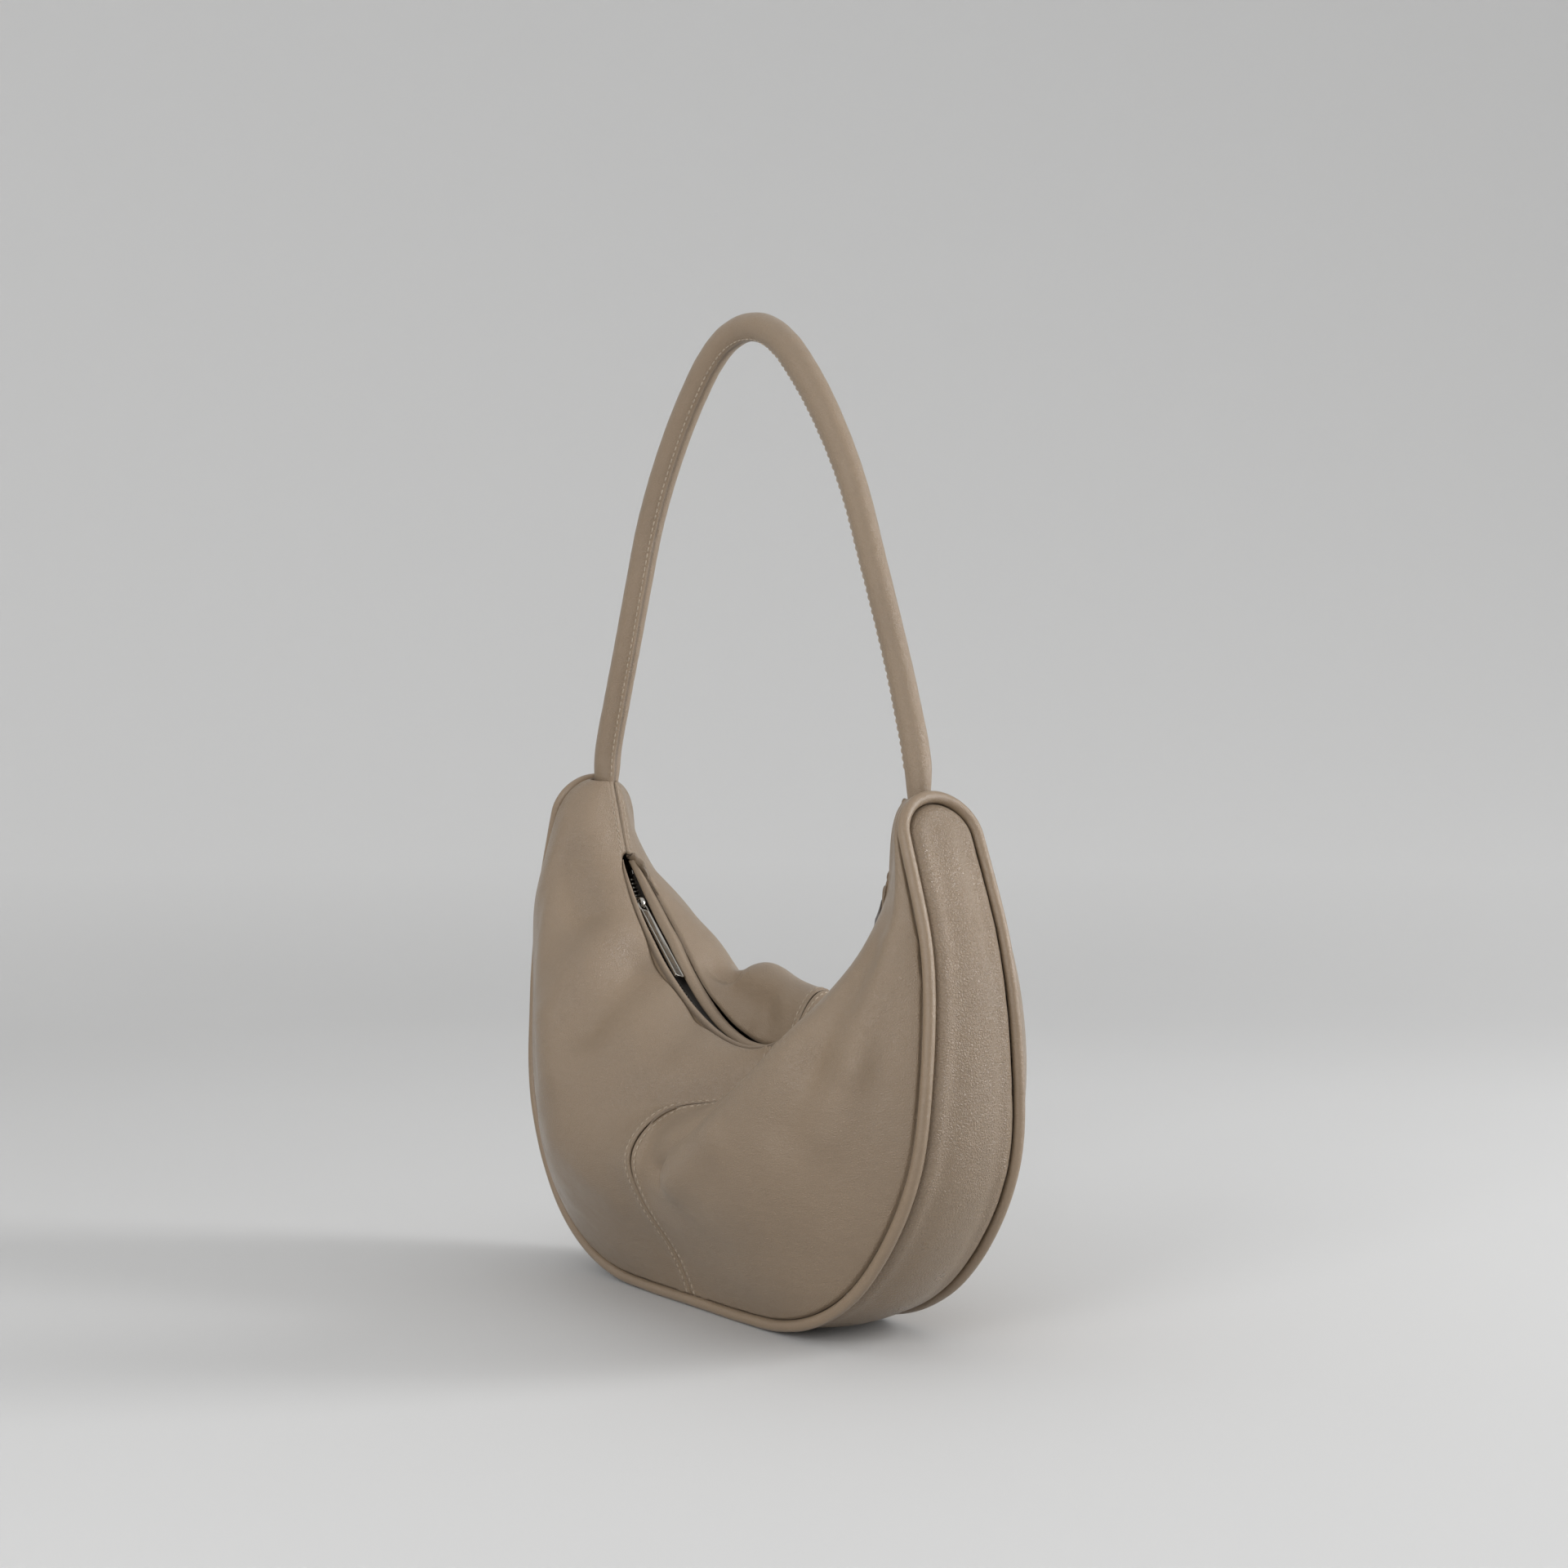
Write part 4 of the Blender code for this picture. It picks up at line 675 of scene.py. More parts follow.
def sewing(shape, places, from_start, to_lip, from_seam):
    """How the leather stands by its seams: rolled down into each seam, a little proud over the seam
    allowance, pulled in along the stitch rows, and puckered beside the piping."""
    horn = ramp(places, shape.close - 0.01, shape.close + 0.01)[:, None]
    push = bells(from_seam, CENTRE_SEAM) + bells(from_start, PIPING_SEAM)
    push += horn * bells(to_lip, HORN_SEAM) + (1 - horn) * bells(to_lip, LIP_ROLL)
    pucker = ripples(places[:, None] * shape.half_outline, PANEL_PUCKERS)
    return push + 0.06 * MM * pucker * bell(from_start - 2.0 * MM, 5.0 * MM)


def panel_stations(shape):
    """Places along a half panel: a quarter of a millimetre apart by the centre seam, then wider."""
    seam = np.linspace(0.0, 7.0 * MM, 26) / shape.half_outline
    body = np.linspace(seam[-1], shape.close - 0.02, 90)[1:]
    closing = np.linspace(body[-1], shape.close + 0.02, 16)[1:]
    horn = np.linspace(closing[-1], shape.tongue_start, 22)[1:]
    tip = horn[-1] + (1 - horn[-1]) * np.sin(np.linspace(0.0, math.pi / 2, 16)[1:])
    return np.concatenate([seam, body, closing, horn, tip])


def panel_shares():
    """Shares across a panel, closer together at both edges."""
    t = np.linspace(0.0, 1.0, 120)
    return t - 0.13 * np.sin(2 * math.pi * t)


# Meshes


def cells_of(grid):
    """The four corners of each cell of a grid, in turn."""
    return np.stack([grid[:-1, :-1], grid[1:, :-1], grid[1:, 1:], grid[:-1, 1:]], axis=2)


def grid_mesh(name, grid, loop_rows=False, loop_columns=False, capped=False, facing=None):
    """A mesh over an (n, m, 3) grid of points. Its UV is in metres: the mean distance along the rows and
    across the columns. It faces as told, or else outwards from the middle of its looped rows."""
    n, m = grid.shape[:2]
    index = np.arange(n * m).reshape(n, m)
    if loop_rows:
        index = np.concatenate([index, index[:1]])
    if loop_columns:
        index = np.concatenate([index, index[:, :1]], axis=1)
    row, column = n // 2, 0 if facing is None else m // 2
    here, before = grid[row, column], grid[row - 1, column]
    if facing is None:
        facing, across = here - grid[row].mean(axis=0), grid[row, 1] - here
    else:
        across = here - grid[row, column - 1]
    turn = -1 if np.dot(np.cross(here - before, across), facing) < 0 else 1
    faces = cells_of(index).reshape(-1, 4)[:, ::turn].tolist()
    if capped:
        faces += [index[0, :m][::-turn].tolist(), index[-1, :m][::turn].tolist()]
    mesh = bpy.data.meshes.new(name)
    mesh.from_pydata(grid.reshape(-1, 3).tolist(), [], faces)
    whole = grid.reshape(-1, 3)[index]
    uv = np.meshgrid(running(whole, 0).mean(axis=1), running(whole, 1).mean(axis=0), indexing="ij")
    uv = cells_of(np.stack(uv, axis=-1)).reshape(-1, 4, 2)[:, ::turn].reshape(-1, 2)
    uv = np.concatenate([uv, np.repeat(uv[:1], len(mesh.loops) - len(uv), axis=0)])
    mesh.uv_layers.new(name="UVMap").data.foreach_set("uv", uv.ravel())
    mesh.shade_smooth()
    return mesh


def joined(name, parts):
    """One mesh from several (points, faces) pairs."""
    points, faces, count = [], [], 0
    for part_points, part_faces in parts:
        points.append(np.asarray(part_points).reshape(-1, 3))
        faces += [[corner + count for corner in face] for face in part_faces]
        count += len(points[-1])
    mesh = bpy.data.meshes.new(name)
    mesh.from_pydata(np.concatenate(points).tolist(), [], faces)
    mesh.shade_smooth()
    return mesh


def add_seam_shade(obj, values):
    """How dark the leather is painted by its seams, for its material: painted shade in the grooves along each
    seam.
    """
    layer = obj.data.attributes.new("seam", "FLOAT", "POINT")
    layer.data.foreach_set("value", np.asarray(values, np.float32).ravel())


def add_piece(name, mesh, material, body="bag", stands_for=()):
    """Puts a mesh in the scene as a piece of the bag."""
    obj = bpy.data.objects.new(name, mesh)
    bpy.context.scene.collection.objects.link(obj)
    mesh.materials.append(material)
    if body:
        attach(obj, body)
    if stands_for:
        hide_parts(*stands_for)
    return obj


def add_surface(context, name, grid, material, slot, node, **mesh_settings):
    """Adds a grid of points as a piece that stands for a node."""
    mesh = grid_mesh(name, grid, **mesh_settings)
    return add_piece(name, mesh, material_for(context, material), stands_for=(node,))


def thicken(obj, thickness):
    """Gives a surface its thickness on its inner side, with turned edges."""
    wall = obj.modifiers.new("wall", "SOLIDIFY")
    wall.thickness = thickness
    wall.offset = -1.0


def ring_faces(rings, sides):
    """Faces of a closed loft: rings of points joined in turn, with a face over each end."""
    index = np.arange(rings * sides).reshape(rings, sides)
    following = np.roll(index, -1, axis=1)
    quads = np.stack([index[:-1], following[:-1], following[1:], index[1:]], axis=-1)
    return quads.reshape(-1, 4).tolist() + [index[0, ::-1].tolist(), index[-1].tolist()]


def copies(rings, centres, ahead, side, up, order=1):
    """A closed loft at each centre, turned to the directions there. Order -1 turns its faces over."""
    local = rings.reshape(-1, 3)
    points = centres[:, None] + local[:, :1] * ahead[:, None]
    points = points + local[:, 1:2] * side[:, None] + local[:, 2:] * up[:, None]
    offset = np.arange(len(centres))[:, None, None] * len(local)
    one, faces = ring_faces(*rings.shape[:2]), []
    for group in (one[:-2], one[-2:]):
        every = np.array(group)[:, ::order] + offset
        faces += every.reshape(-1, every.shape[-1]).tolist()
    return points, faces


def slab(outline, profile):
    """A plate with worked edges: its outline moved inwards by each inset of the profile, at each height."""
    ahead = np.roll(outline, -1, axis=0) - np.roll(outline, 1, axis=0)
    inward = unit(np.stack([-ahead[:, 1], ahead[:, 0]], axis=1))
    area = np.sum(outline[:, 0] * np.roll(outline[:, 1], -1) - np.roll(outline[:, 0], -1) * outline[:, 1])
    if area < 0:
        outline, inward = outline[::-1], -inward[::-1]
    rings = [np.column_stack([outline + inward * inset, np.full(len(outline), z)]) for inset, z in profile]
    return np.array(rings), ring_faces(len(profile), len(outline))


def rounded(corners, radius, steps=5):
    """A closed outline with each corner cut by a quadratic curve."""
    corners = np.asarray(corners, float)
    cuts = []
    for turn in (1, -1):
        away = np.roll(corners, turn, axis=0) - corners
        reach = np.minimum(radius, np.linalg.norm(away, axis=1) / 2)[:, None]
        cuts.append((corners + unit(away) * reach)[:, None])
    t = np.linspace(0.0, 1.0, steps)[None, :, None]
    curve = (1 - t) ** 2 * cuts[0] + 2 * t * (1 - t) * corners[:, None] + t**2 * cuts[1]
    return curve.reshape(-1, 2)


def rectangle(left, right, half, radius, steps=5):
    return rounded([(left, -half), (right, -half), (right, half), (left, half)], radius, steps)


def round_edges(low, high, radius):
    """A slab's profile with quarter circles at both edges."""
    turn = np.linspace(0.0, math.pi / 2, 4)
    lower = [(radius * (1 - math.sin(a)), low + radius * (1 - math.cos(a))) for a in turn]
    upper = [(radius * (1 - math.cos(a)), high - radius * (1 - math.sin(a))) for a in turn]
    return lower + upper


def squared_ring(sides, power=4):
    """Points of a squared-off circle of radius 1."""
    turn = np.linspace(0.0, 2 * math.pi, sides, endpoint=False)
    ring = np.stack([np.cos(turn), np.sin(turn)], axis=1)
    return ring * (np.abs(ring) ** power).sum(axis=1, keepdims=True) ** (-1 / power)


def bar_along(path, side, up, half_wide, half_high, power=4):
    """A bar along a path, its section a squared-off ellipse, closed by a shrunken ring at each end."""
    section = squared_ring(12, power) * (half_wide, half_high)
    shares = np.ones((len(path), 1, 1))
    shares[[0, -1]] = 0.6
    rings = section[:, :1] * side[:, None] + section[:, 1:] * up[:, None]
    return path[:, None] + rings * shares, ring_faces(len(path), len(section))


# Materials

# How each kind of surface shines, beside its roughness
LUSTRES = {
    "leather": {"Specular IOR Level": 0.55, "Sheen Weight": 0.04, "Sheen Roughness": 0.45},
    "cloth": {"Specular IOR Level": 0.2, "Sheen Weight": 0.25, "Sheen Roughness": 0.6},
    "thread": {"Sheen Weight": 0.2, "Sheen Roughness": 0.4},
    "metal": {"Metallic": 1.0},
    "paper": {"Specular IOR Level": 0.25},
}


class Finish:
    """Builds a node material on one Principled shader."""

    def __init__(self, name):
        self.material = bpy.data.materials.new(name)
        self.material.use_nodes = True
        self.tree = self.material.node_tree

    def node(self, kind, inputs, **settings):
        node = self.tree.nodes.new(kind)
        for key, value in settings.items():
            setattr(node, key, value)
        self.feed(node, inputs)
        return node

    def feed(self, node, inputs):
        for key, value in inputs.items():
            if isinstance(value, bpy.types.NodeSocket):
                self.tree.links.new(value, node.inputs[key])
            else:
                node.inputs[key].default_value = value

    def coordinates(self, kind="Object", stretch=(1.0, 1.0, 1.0)):
        source = self.node("ShaderNodeTexCoord", {}).outputs[kind]
        return self.node("ShaderNodeMapping", {"Vector": source, "Scale": stretch}).outputs["Vector"]

    def noise(self, where, scale, detail=2.0, rough=0.5, output="Fac"):
        settings = {"Vector": where, "Scale": scale, "Detail": detail, "Roughness": rough}
        return self.node("ShaderNodeTexNoise", settings).outputs[output]

    def cells(self, where, scale):
        settings = {"Vector": where, "Scale": scale, "Randomness": 1.0}
        return self.node("ShaderNodeTexVoronoi", settings, feature="DISTANCE_TO_EDGE").outputs["Distance"]

    def waves(self, where, scale, distortion, detail, direction):
        settings = {"Vector": where, "Scale": scale, "Distortion": distortion, "Detail": detail}
        return self.node("ShaderNodeTexWave", settings, bands_direction=direction).outputs["Fac"]

    def spread(self, value, low, high, to_low=0.0, to_high=1.0):
        settings = {"Value": value, "From Min": low, "From Max": high, "To Min": to_low, "To Max": to_high}
        return self.node("ShaderNodeMapRange", settings).outputs["Result"]

    def sum(self, first, second):
        return self.node("ShaderNodeMath", {0: first, 1: second}, operation="ADD").outputs[0]

    def product(self, first, second):
        return self.node("ShaderNodeMath", {0: first, 1: second}, operation="MULTIPLY").outputs[0]

    def blend(self, share, first, second):
        return self.node("ShaderNodeMix", {0: share, 6: first, 7: second}, data_type="RGBA").outputs[2]

    def bump(self, height, strength, distance, **over):
        settings = {"Height": height, "Strength": strength, "Distance": distance, **over}
        return self.node("ShaderNodeBump", settings).outputs["Normal"]

    def shade(self, kind, colour, roughness, normal):
        inputs = {"Base Color": colour, "Roughness": roughness, "Normal": normal, **LUSTRES[kind]}
        self.feed(self.tree.nodes["Principled BSDF"], inputs)
        return self.material


def tinted(colour, share):
    return (*[min(1.0, channel * share) for channel in colour], 1.0)


def leather_finish(name, colour, pebble, grain, roughness, where="Object", seams=True):
    """Grained leather: rounded cells a millimetre wide set off by fine creases, finer cells between them,
    soft wrinkles, and uneven dye and polish. The creases between the cells are painted darker, which is
    painted shade, and the grooves along the seams are painted darker too, also painted shade."""
    finish = Finish(name)
    plain = finish.coordinates(where)
    stir = finish.noise(plain, 420.0, 1.0, output="Color")
    pull = finish.node("ShaderNodeVectorMath", {0: stir, "Scale": 0.35 * MM}, operation="SCALE")
    place = finish.node("ShaderNodeVectorMath", {0: plain, 1: pull.outputs["Vector"]}).outputs["Vector"]
    broad = finish.noise(plain, 14.0, 3.0, 0.55)
    patches = finish.noise(plain, 70.0, 3.0, 0.6)
    wrinkles = finish.noise(finish.coordinates(where, (1.0, 1.0, 2.2)), 130.0, 4.0, 0.62)
    pores = finish.noise(plain, 3000.0)
    cells = finish.cells(place, 800.0 / pebble)
    fine = finish.spread(finish.cells(place, 1750.0 / pebble), 0.0, 0.30)
    strong = finish.spread(patches, 0.36, 0.62, 0.55, 1.0)
    height = finish.product(finish.spread(cells, 0.0, 0.45), strong)
    height = finish.sum(finish.sum(height, finish.product(fine, 0.35)), finish.product(pores, 0.25))
    shade = finish.blend(finish.spread(broad, 0.3, 0.7), tinted(colour, 0.93), tinted(colour, 1.07))
    shade = finish.blend(finish.spread(patches, 0.35, 0.75, 0.0, 0.4), shade, tinted(colour, 1.12))
    # Painted shade: the creases between the grain's cells are darkened
    shade = finish.blend(finish.spread(cells, 0.0, 0.09, 0.34 * grain, 0.0), shade, tinted(colour, 0.62))
    if seams:
        # Painted shade: the leather darkens towards half its colour in the seams' grooves, where the seam
        # attribute is high
        seam = finish.node("ShaderNodeAttribute", {}, attribute_name="seam").outputs["Fac"]
        shade = finish.blend(seam, shade, tinted(colour, 0.50))
    polish = finish.spread(patches, 0.3, 0.7, roughness - 0.05, roughness + 0.07)
    waves = finish.bump(wrinkles, 0.35, 1.1 * MM)
    normal = finish.bump(height, min(1.0, 0.8 * grain), (0.12 + 0.16 * grain) * MM, Normal=waves)
    return finish.shade("leather", shade, polish, normal)


def cloth_finish(name, colour, pitch):
    """Plain weave: warp and weft as crossed waves on the piece's UV in metres, with uneven yarn. The colour
    follows the weave's height: painted shade in its hollows and painted light on its raised yarn, partly
    uneven yarn tone.
    """
    finish = Finish(name)
    place = finish.coordinates("UV")
    warp, weft = [finish.waves(place, 0.314 / pitch, 0.4, 1.0, direction) for direction in "XY"]
    yarn = finish.noise(place, 900.0)
    height = finish.sum(finish.product(warp, weft), finish.product(yarn, 0.3))
    # Painted shade and light: the weave's hollows are painted darker and its raised yarn lighter
    shade = finish.blend(finish.spread(height, 0.1, 1.0), tinted(colour, 0.6), tinted(colour, 1.4))
    rough = finish.spread(yarn, 0.3, 0.7, 0.78, 0.92)
    return finish.shade("cloth", shade, rough, finish.bump(height, 0.5, 0.15 * MM))


def metal_finish(name, colour, roughness, tarnish):
    """Plated metal: drawn scratches, uneven polish and a dull film in places."""
    finish = Finish(name)
    drawn = finish.noise(finish.coordinates("Object", (1.0, 9.0, 1.0)), 700.0, 3.0)
    film = finish.noise(finish.coordinates(), 240.0, 4.0, 0.6)
    dull = finish.spread(film, 0.4, 0.75, 0.0, tarnish)
    shade = finish.blend(dull, tinted(colour, 1.0), tinted(colour, 0.55))
    polish = finish.spread(film, 0.3, 0.7, roughness - 0.04, roughness + 0.10)
    polish = finish.sum(polish, finish.spread(drawn, 0.3, 0.7, 0.0, 0.06))
    return finish.shade("metal", shade, polish, finish.bump(drawn, 0.12, 0.02 * MM))


def thread_finish(name, colour):
    """Bonded thread: a slanted twist along each stitch and slightly uneven dye."""
    finish = Finish(name)
    place = finish.coordinates()
    twist = finish.waves(place, 700.0, 1.0, 2.0, "DIAGONAL")
    uneven = finish.noise(place, 300.0)
    shade = finish.blend(finish.spread(uneven, 0.3, 0.7), tinted(colour, 0.82), tinted(colour, 1.12))
    rough = finish.spread(uneven, 0.3, 0.7, 0.48, 0.64)
    return finish.shade("thread", shade, rough, finish.bump(twist, 0.5, 0.08 * MM))


def paper_finish(name, colour):
    """Seamless paper: faint mottling, a matt, finely rough face, and the floor painted darker than the wall,
    painted shade that evens out the lamps' stronger light on the floor.
    """
    finish = Finish(name)
    place = finish.coordinates()
    height = finish.node("ShaderNodeSeparateXYZ", {"Vector": place}).outputs["Z"]
    mottle = finish.noise(place, 1.6)
    tooth = finish.noise(place, 900.0)
    # Painted shade: the floor is painted 11 to 13 percent darker than the wall, to even out the lamps'
    # stronger light on it
    floor = finish.blend(finish.spread(mottle, 0.3, 0.7), tinted(colour, 0.87), tinted(colour, 0.89))
    shade = finish.blend(finish.spread(height, 0.0, 0.12), floor, tinted(colour, 1.0))
    rough = finish.spread(tooth, 0.3, 0.7, 0.72, 0.80)
    return finish.shade("paper", shade, rough, finish.bump(tooth, 0.04, 0.05 * MM))


# How each material is made and the name of its colour, then for leather the size of its pebble, its
# grain and its roughness, for cloth its yarn's pitch, and for metal its roughness and tarnish
FINISHES = {
    "panel_leather": (leather_finish, "leather", 0.80, 0.85, 0.33),
    "gusset_leather": (leather_finish, "leather", 1.10, 1.20, 0.31),
    "facing_leather": (leather_finish, "leather", 0.85, 0.7, 0.44),
    "piping_leather_worn": (leather_finish, "piping", 0.7, 0.6, 0.34, "Object", False),
    "rolled_leather": (leather_finish, "handle", 0.75, 0.8, 0.34, "UV"),
    "woven_lining": (cloth_finish, "lining", 0.7 * MM),
    "woven_tape": (cloth_finish, "tape", 0.55 * MM),
    "plated_teeth": (metal_finish, "teeth", 0.30, 0.5),
    "bright_nickel": (metal_finish, "nickel", 0.16, 0.25),
    "thread": (thread_finish, "thread"),
}


def material_for(context, name):
    """The named material, made the first time it is asked for."""
    maker, colour, *values = FINISHES[name]
    colour = getattr(context.scene.bag_colours, colour)
    return bpy.data.materials.get(name) or maker(name, colour, *values)


# Stitches


def edge_line(grid, normal, distance, keep):
    """Where a grid's rows cross the stitches' distance from an edge: distance rises or falls along them."""
    inset = STITCH_INSET * MM
    falls = distance[0, 0] > distance[0, -1]
    beyond = (distance > inset if falls else distance < inset).sum(axis=1)
    rows, j = np.arange(grid.shape[0]), np.clip(beyond - 1, 0, grid.shape[1] - 2)
    near, far = distance[rows, j], distance[rows, j + 1]
    u = ((inset - near) / np.where(far == near, 1.0, far - near))[:, None]
    return [(lines[rows, j] * (1 - u) + lines[rows, j + 1] * u)[keep] for lines in (grid, normal)]


def stitches(sizes, line, normals, length=None, pitch=None):
    """A row of stitches: one bent capsule per pitch along a line, its ends dipping into the leather."""
    length, pitch = length or sizes.stitch_length, pitch or sizes.stitch_pitch
    along = running(line)
    middle = (np.arange(int(along[-1] / pitch)) + 0.5) * pitch
    ahead = unit(at(along, line, middle + length / 2) - at(along, line, middle - length / 2))
    up = squared_to(at(along, normals, middle), ahead)
    share, thick = np.array(STITCH).T[..., None]
    thick = thick * sizes.thread_radius
    turn = np.linspace(0.0, 2 * math.pi, 6, endpoint=False)
    height = 0.12 * MM - 1.1 * sizes.thread_radius * share**4
    rings = in_space(share * length / 2, height + thick * np.sin(turn), thick * np.cos(turn))
    return copies(rings, at(along, line, middle), ahead, np.cross(up, ahead), up)


# Operators


def shape_of(context):
    return Shape(context.scene.bag_sizes)


class BAG_OT_panels(bpy.types.Operator):
    """Makes the four leather half panels, each a lofted surface with its slouch, creases and seams"""

    bl_idname = "bag.panels"
    bl_label = "Panels"

    def execute(self, context):
        shape = shape_of(context)
        places = panel_stations(shape)
        for side, facing in (("front", -1), ("back", 1)):
            for end, word in ((-1, "left"), (1, "right")):
                grid, _, start, lip, centre = half_panel(shape, side, end, places, panel_shares())
                name = f"{side}_panel_{word}"
                surface = (f"leather_{name}", grid, "panel_leather", "taupe_leather", name)
                obj = add_surface(context, *surface, facing=(0.0, facing, 0.0))
                # Painted shade in the grooves along the centre seam, by the piping and along the lip
                seam = 0.45 * bell(centre, 0.45 * MM) + 0.6 * bell(start, 0.6 * MM)
                add_seam_shade(obj, np.clip(seam + 0.5 * bell(lip, 0.6 * MM), 0, 1))
                thicken(obj, shape.sizes.leather)
        return {"FINISHED"}


class BAG_OT_gusset(bpy.types.Operator):
    """Makes the gusset, one long crowned band with a rounded tongue at each horn"""

    bl_idname = "bag.gusset"
    bl_label = "Gusset"

    def execute(self, context):
        shape = shape_of(context)
        inset = shape.sizes.piping_radius + 0.1 * MM
        grid = gusset_surface(shape, inset, 0.0, math.radians(89.0), straight=150, tip=30, columns=64)
        surface = ("leather_gusset", grid, "gusset_leather", "taupe_leather", "gusset_band")
        obj = add_surface(context, *surface, facing=(0.0, 0.0, -1.0))
        across = running(grid, 1)
        # Painted shade in the grooves along both edges, by the piping
        add_seam_shade(obj, 0.7 * bell(np.minimum(across, across[:, -1:] - across), 0.6 * MM))
        thicken(obj, shape.sizes.leather)
        return {"FINISHED"}


def gusset_surface(shape, inset, drop, last_angle, straight, tip, columns, worn=True):
    """The gusset's outer face: a parabola crowns it, a ridge stands beside each piping, the seams roll
    in, and slow waves run along it."""
    place, half_width, closing = shape.band_stations(inset, last_angle, straight, tip)
    half_width, closing = half_width[:, None], closing[:, None]
    t = np.linspace(-1.0, 1.0, columns)
    across = t + 0.10 * np.sin(math.pi * t)
    base, outward = shape.outline_at(place), shape.outward_at(place)
    rise = np.clip(base[:, 1:] / (shape.sizes.height * GUSSET_FREE), 0, 1)
    crown = GUSSET_CROWNS[0] + (GUSSET_CROWNS[1] - GUSSET_CROWNS[0]) * rise
    lift = crown * np.cos(closing) ** 2 * (1 - across**2) - drop
    y = half_width * across
    if worn:
        reach = np.sqrt((np.cos(closing) * across) ** 2 + np.sin(closing) ** 2)
        edge = (1 - reach) * half_width / np.maximum(np.cos(closing), 1e-3)
        run = place[:, None] * shape.half_outline
        lift += bells(edge, GUSSET_RIDGE) * (0.35 + 0.65 * rise)
        lift += bells(edge, GUSSET_HOLLOW) * rise + bells(edge, GUSSET_SEAM)
        high, long, wide = GUSSET_WAVE
        lift += high * np.sin(run / long + 1.0) * np.cos(y / wide) * rise
        lift += 0.05 * MM * ripples(run, GUSSET_PUCKERS) * bell(edge - 1.5 * MM, 4.0 * MM) * rise
    x = base[:, :1] + outward[:, :1] * lift
    z = base[:, 1:] + outward[:, 1:] * lift
    return in_space(x, np.maximum(z, drop), y)


class BAG_OT_piping(bpy.types.Operator):
    """Makes the piping, a leather-covered cord in one loop round both seams and both tongues"""

    bl_idname = "bag.piping"
    bl_label = "Piping"

    def execute(self, context):
        shape = shape_of(context)
        place, half_width, _ = shape.band_stations(0.0, math.pi / 2, straight=170, tip=22)
        front = in_space(*shape.outline_at(place).T, -half_width)
        path = np.concatenate([front, (front * (1, -1, 1))[-2:0:-1]])
        radial = in_space(*shape.outward_at(place).T)
        radial = np.concatenate([radial, radial[-2:0:-1]])
        tangent = unit(np.roll(path, -1, axis=0) - np.roll(path, 1, axis=0))
        radial = squared_to(radial, tangent)
        across = np.cross(tangent, radial)
        turn = np.linspace(0.0, 2 * math.pi, 24, endpoint=False)
        wave = wavering(running(path), *PIPING_WAVE)[:, None] * np.cos(turn * 2)
        radius = (shape.sizes.piping_radius + wave)[..., None]
        turn = turn[:, None]
        grid = path[:, None] + radius * (np.cos(turn) * across[:, None] + np.sin(turn) * radial[:, None])
        surface = ("piping_cord", grid, "piping_leather_worn", "piping_leather", "piping")
        add_surface(context, *surface, loop_rows=True, loop_columns=True)
        return {"FINISHED"}


class BAG_OT_linings(bpy.types.Operator):
    """Makes the woven lining: two sheets inside the panels and one inside the gusset"""

    bl_idname = "bag.linings"
    bl_label = "Linings"

    def execute(self, context):
        shape = shape_of(context)
        drop = shape.sizes.leather + 1.0 * MM
        for side, facing in (("front", -1), ("back", 1)):
            add_lining(context, f"lining_{side}", panel_lining(shape, side, drop), (0.0, facing, 0.0))
        inset = shape.sizes.piping_radius + drop
        stations = {"straight": 60, "tip": 4, "columns": 10}
        grid = gusset_surface(shape, inset, drop, math.radians(40.0), **stations, worn=False)
        add_lining(context, "lining_gusset", grid, (0.0, 0.0, -1.0))
        return {"FINISHED"}


def panel_lining(shape, side, drop):
    """A sheet inside both halves of a panel, fuller towards the middle of the bag."""
    places, shares = np.linspace(0.0, 0.72, 70), np.linspace(0.03, 0.97, 50)
    fold = 6.0 * MM * bell(places, 0.16)[:, None] * np.sin(math.pi * shares) ** 0.5
    inside = (drop + 1.5 * MM * np.sin(math.pi * shares) + fold)[..., None]
    left, right = [half_panel(shape, side, end, places, shares, sewn=False)[:2] for end in (-1, 1)]
    seam_line = right[0][0]
    halves = [grid - normal * inside for grid, normal in (left, right)]
    for grid in halves:
        grid[0, :, 0] = np.interp(grid[0, :, 2], seam_line[:, 2], seam_line[:, 0])
    return np.concatenate([halves[0][:0:-1], halves[1]])


def add_lining(context, name, grid, facing):
    """Adds a sheet of cloth, given its thickness. The area of the curved cut is worked out, but nothing
    reports or uses it."""
    obj = add_surface(context, f"cloth_{name}", grid, "woven_lining", "lining_cloth", name, facing=facing)
    along, across = np.diff(grid, axis=0)[:, :-1], np.diff(grid, axis=1)[:-1]
    area = np.linalg.norm(np.cross(along, across), axis=-1).sum()
    thicken(obj, 0.4 * MM)


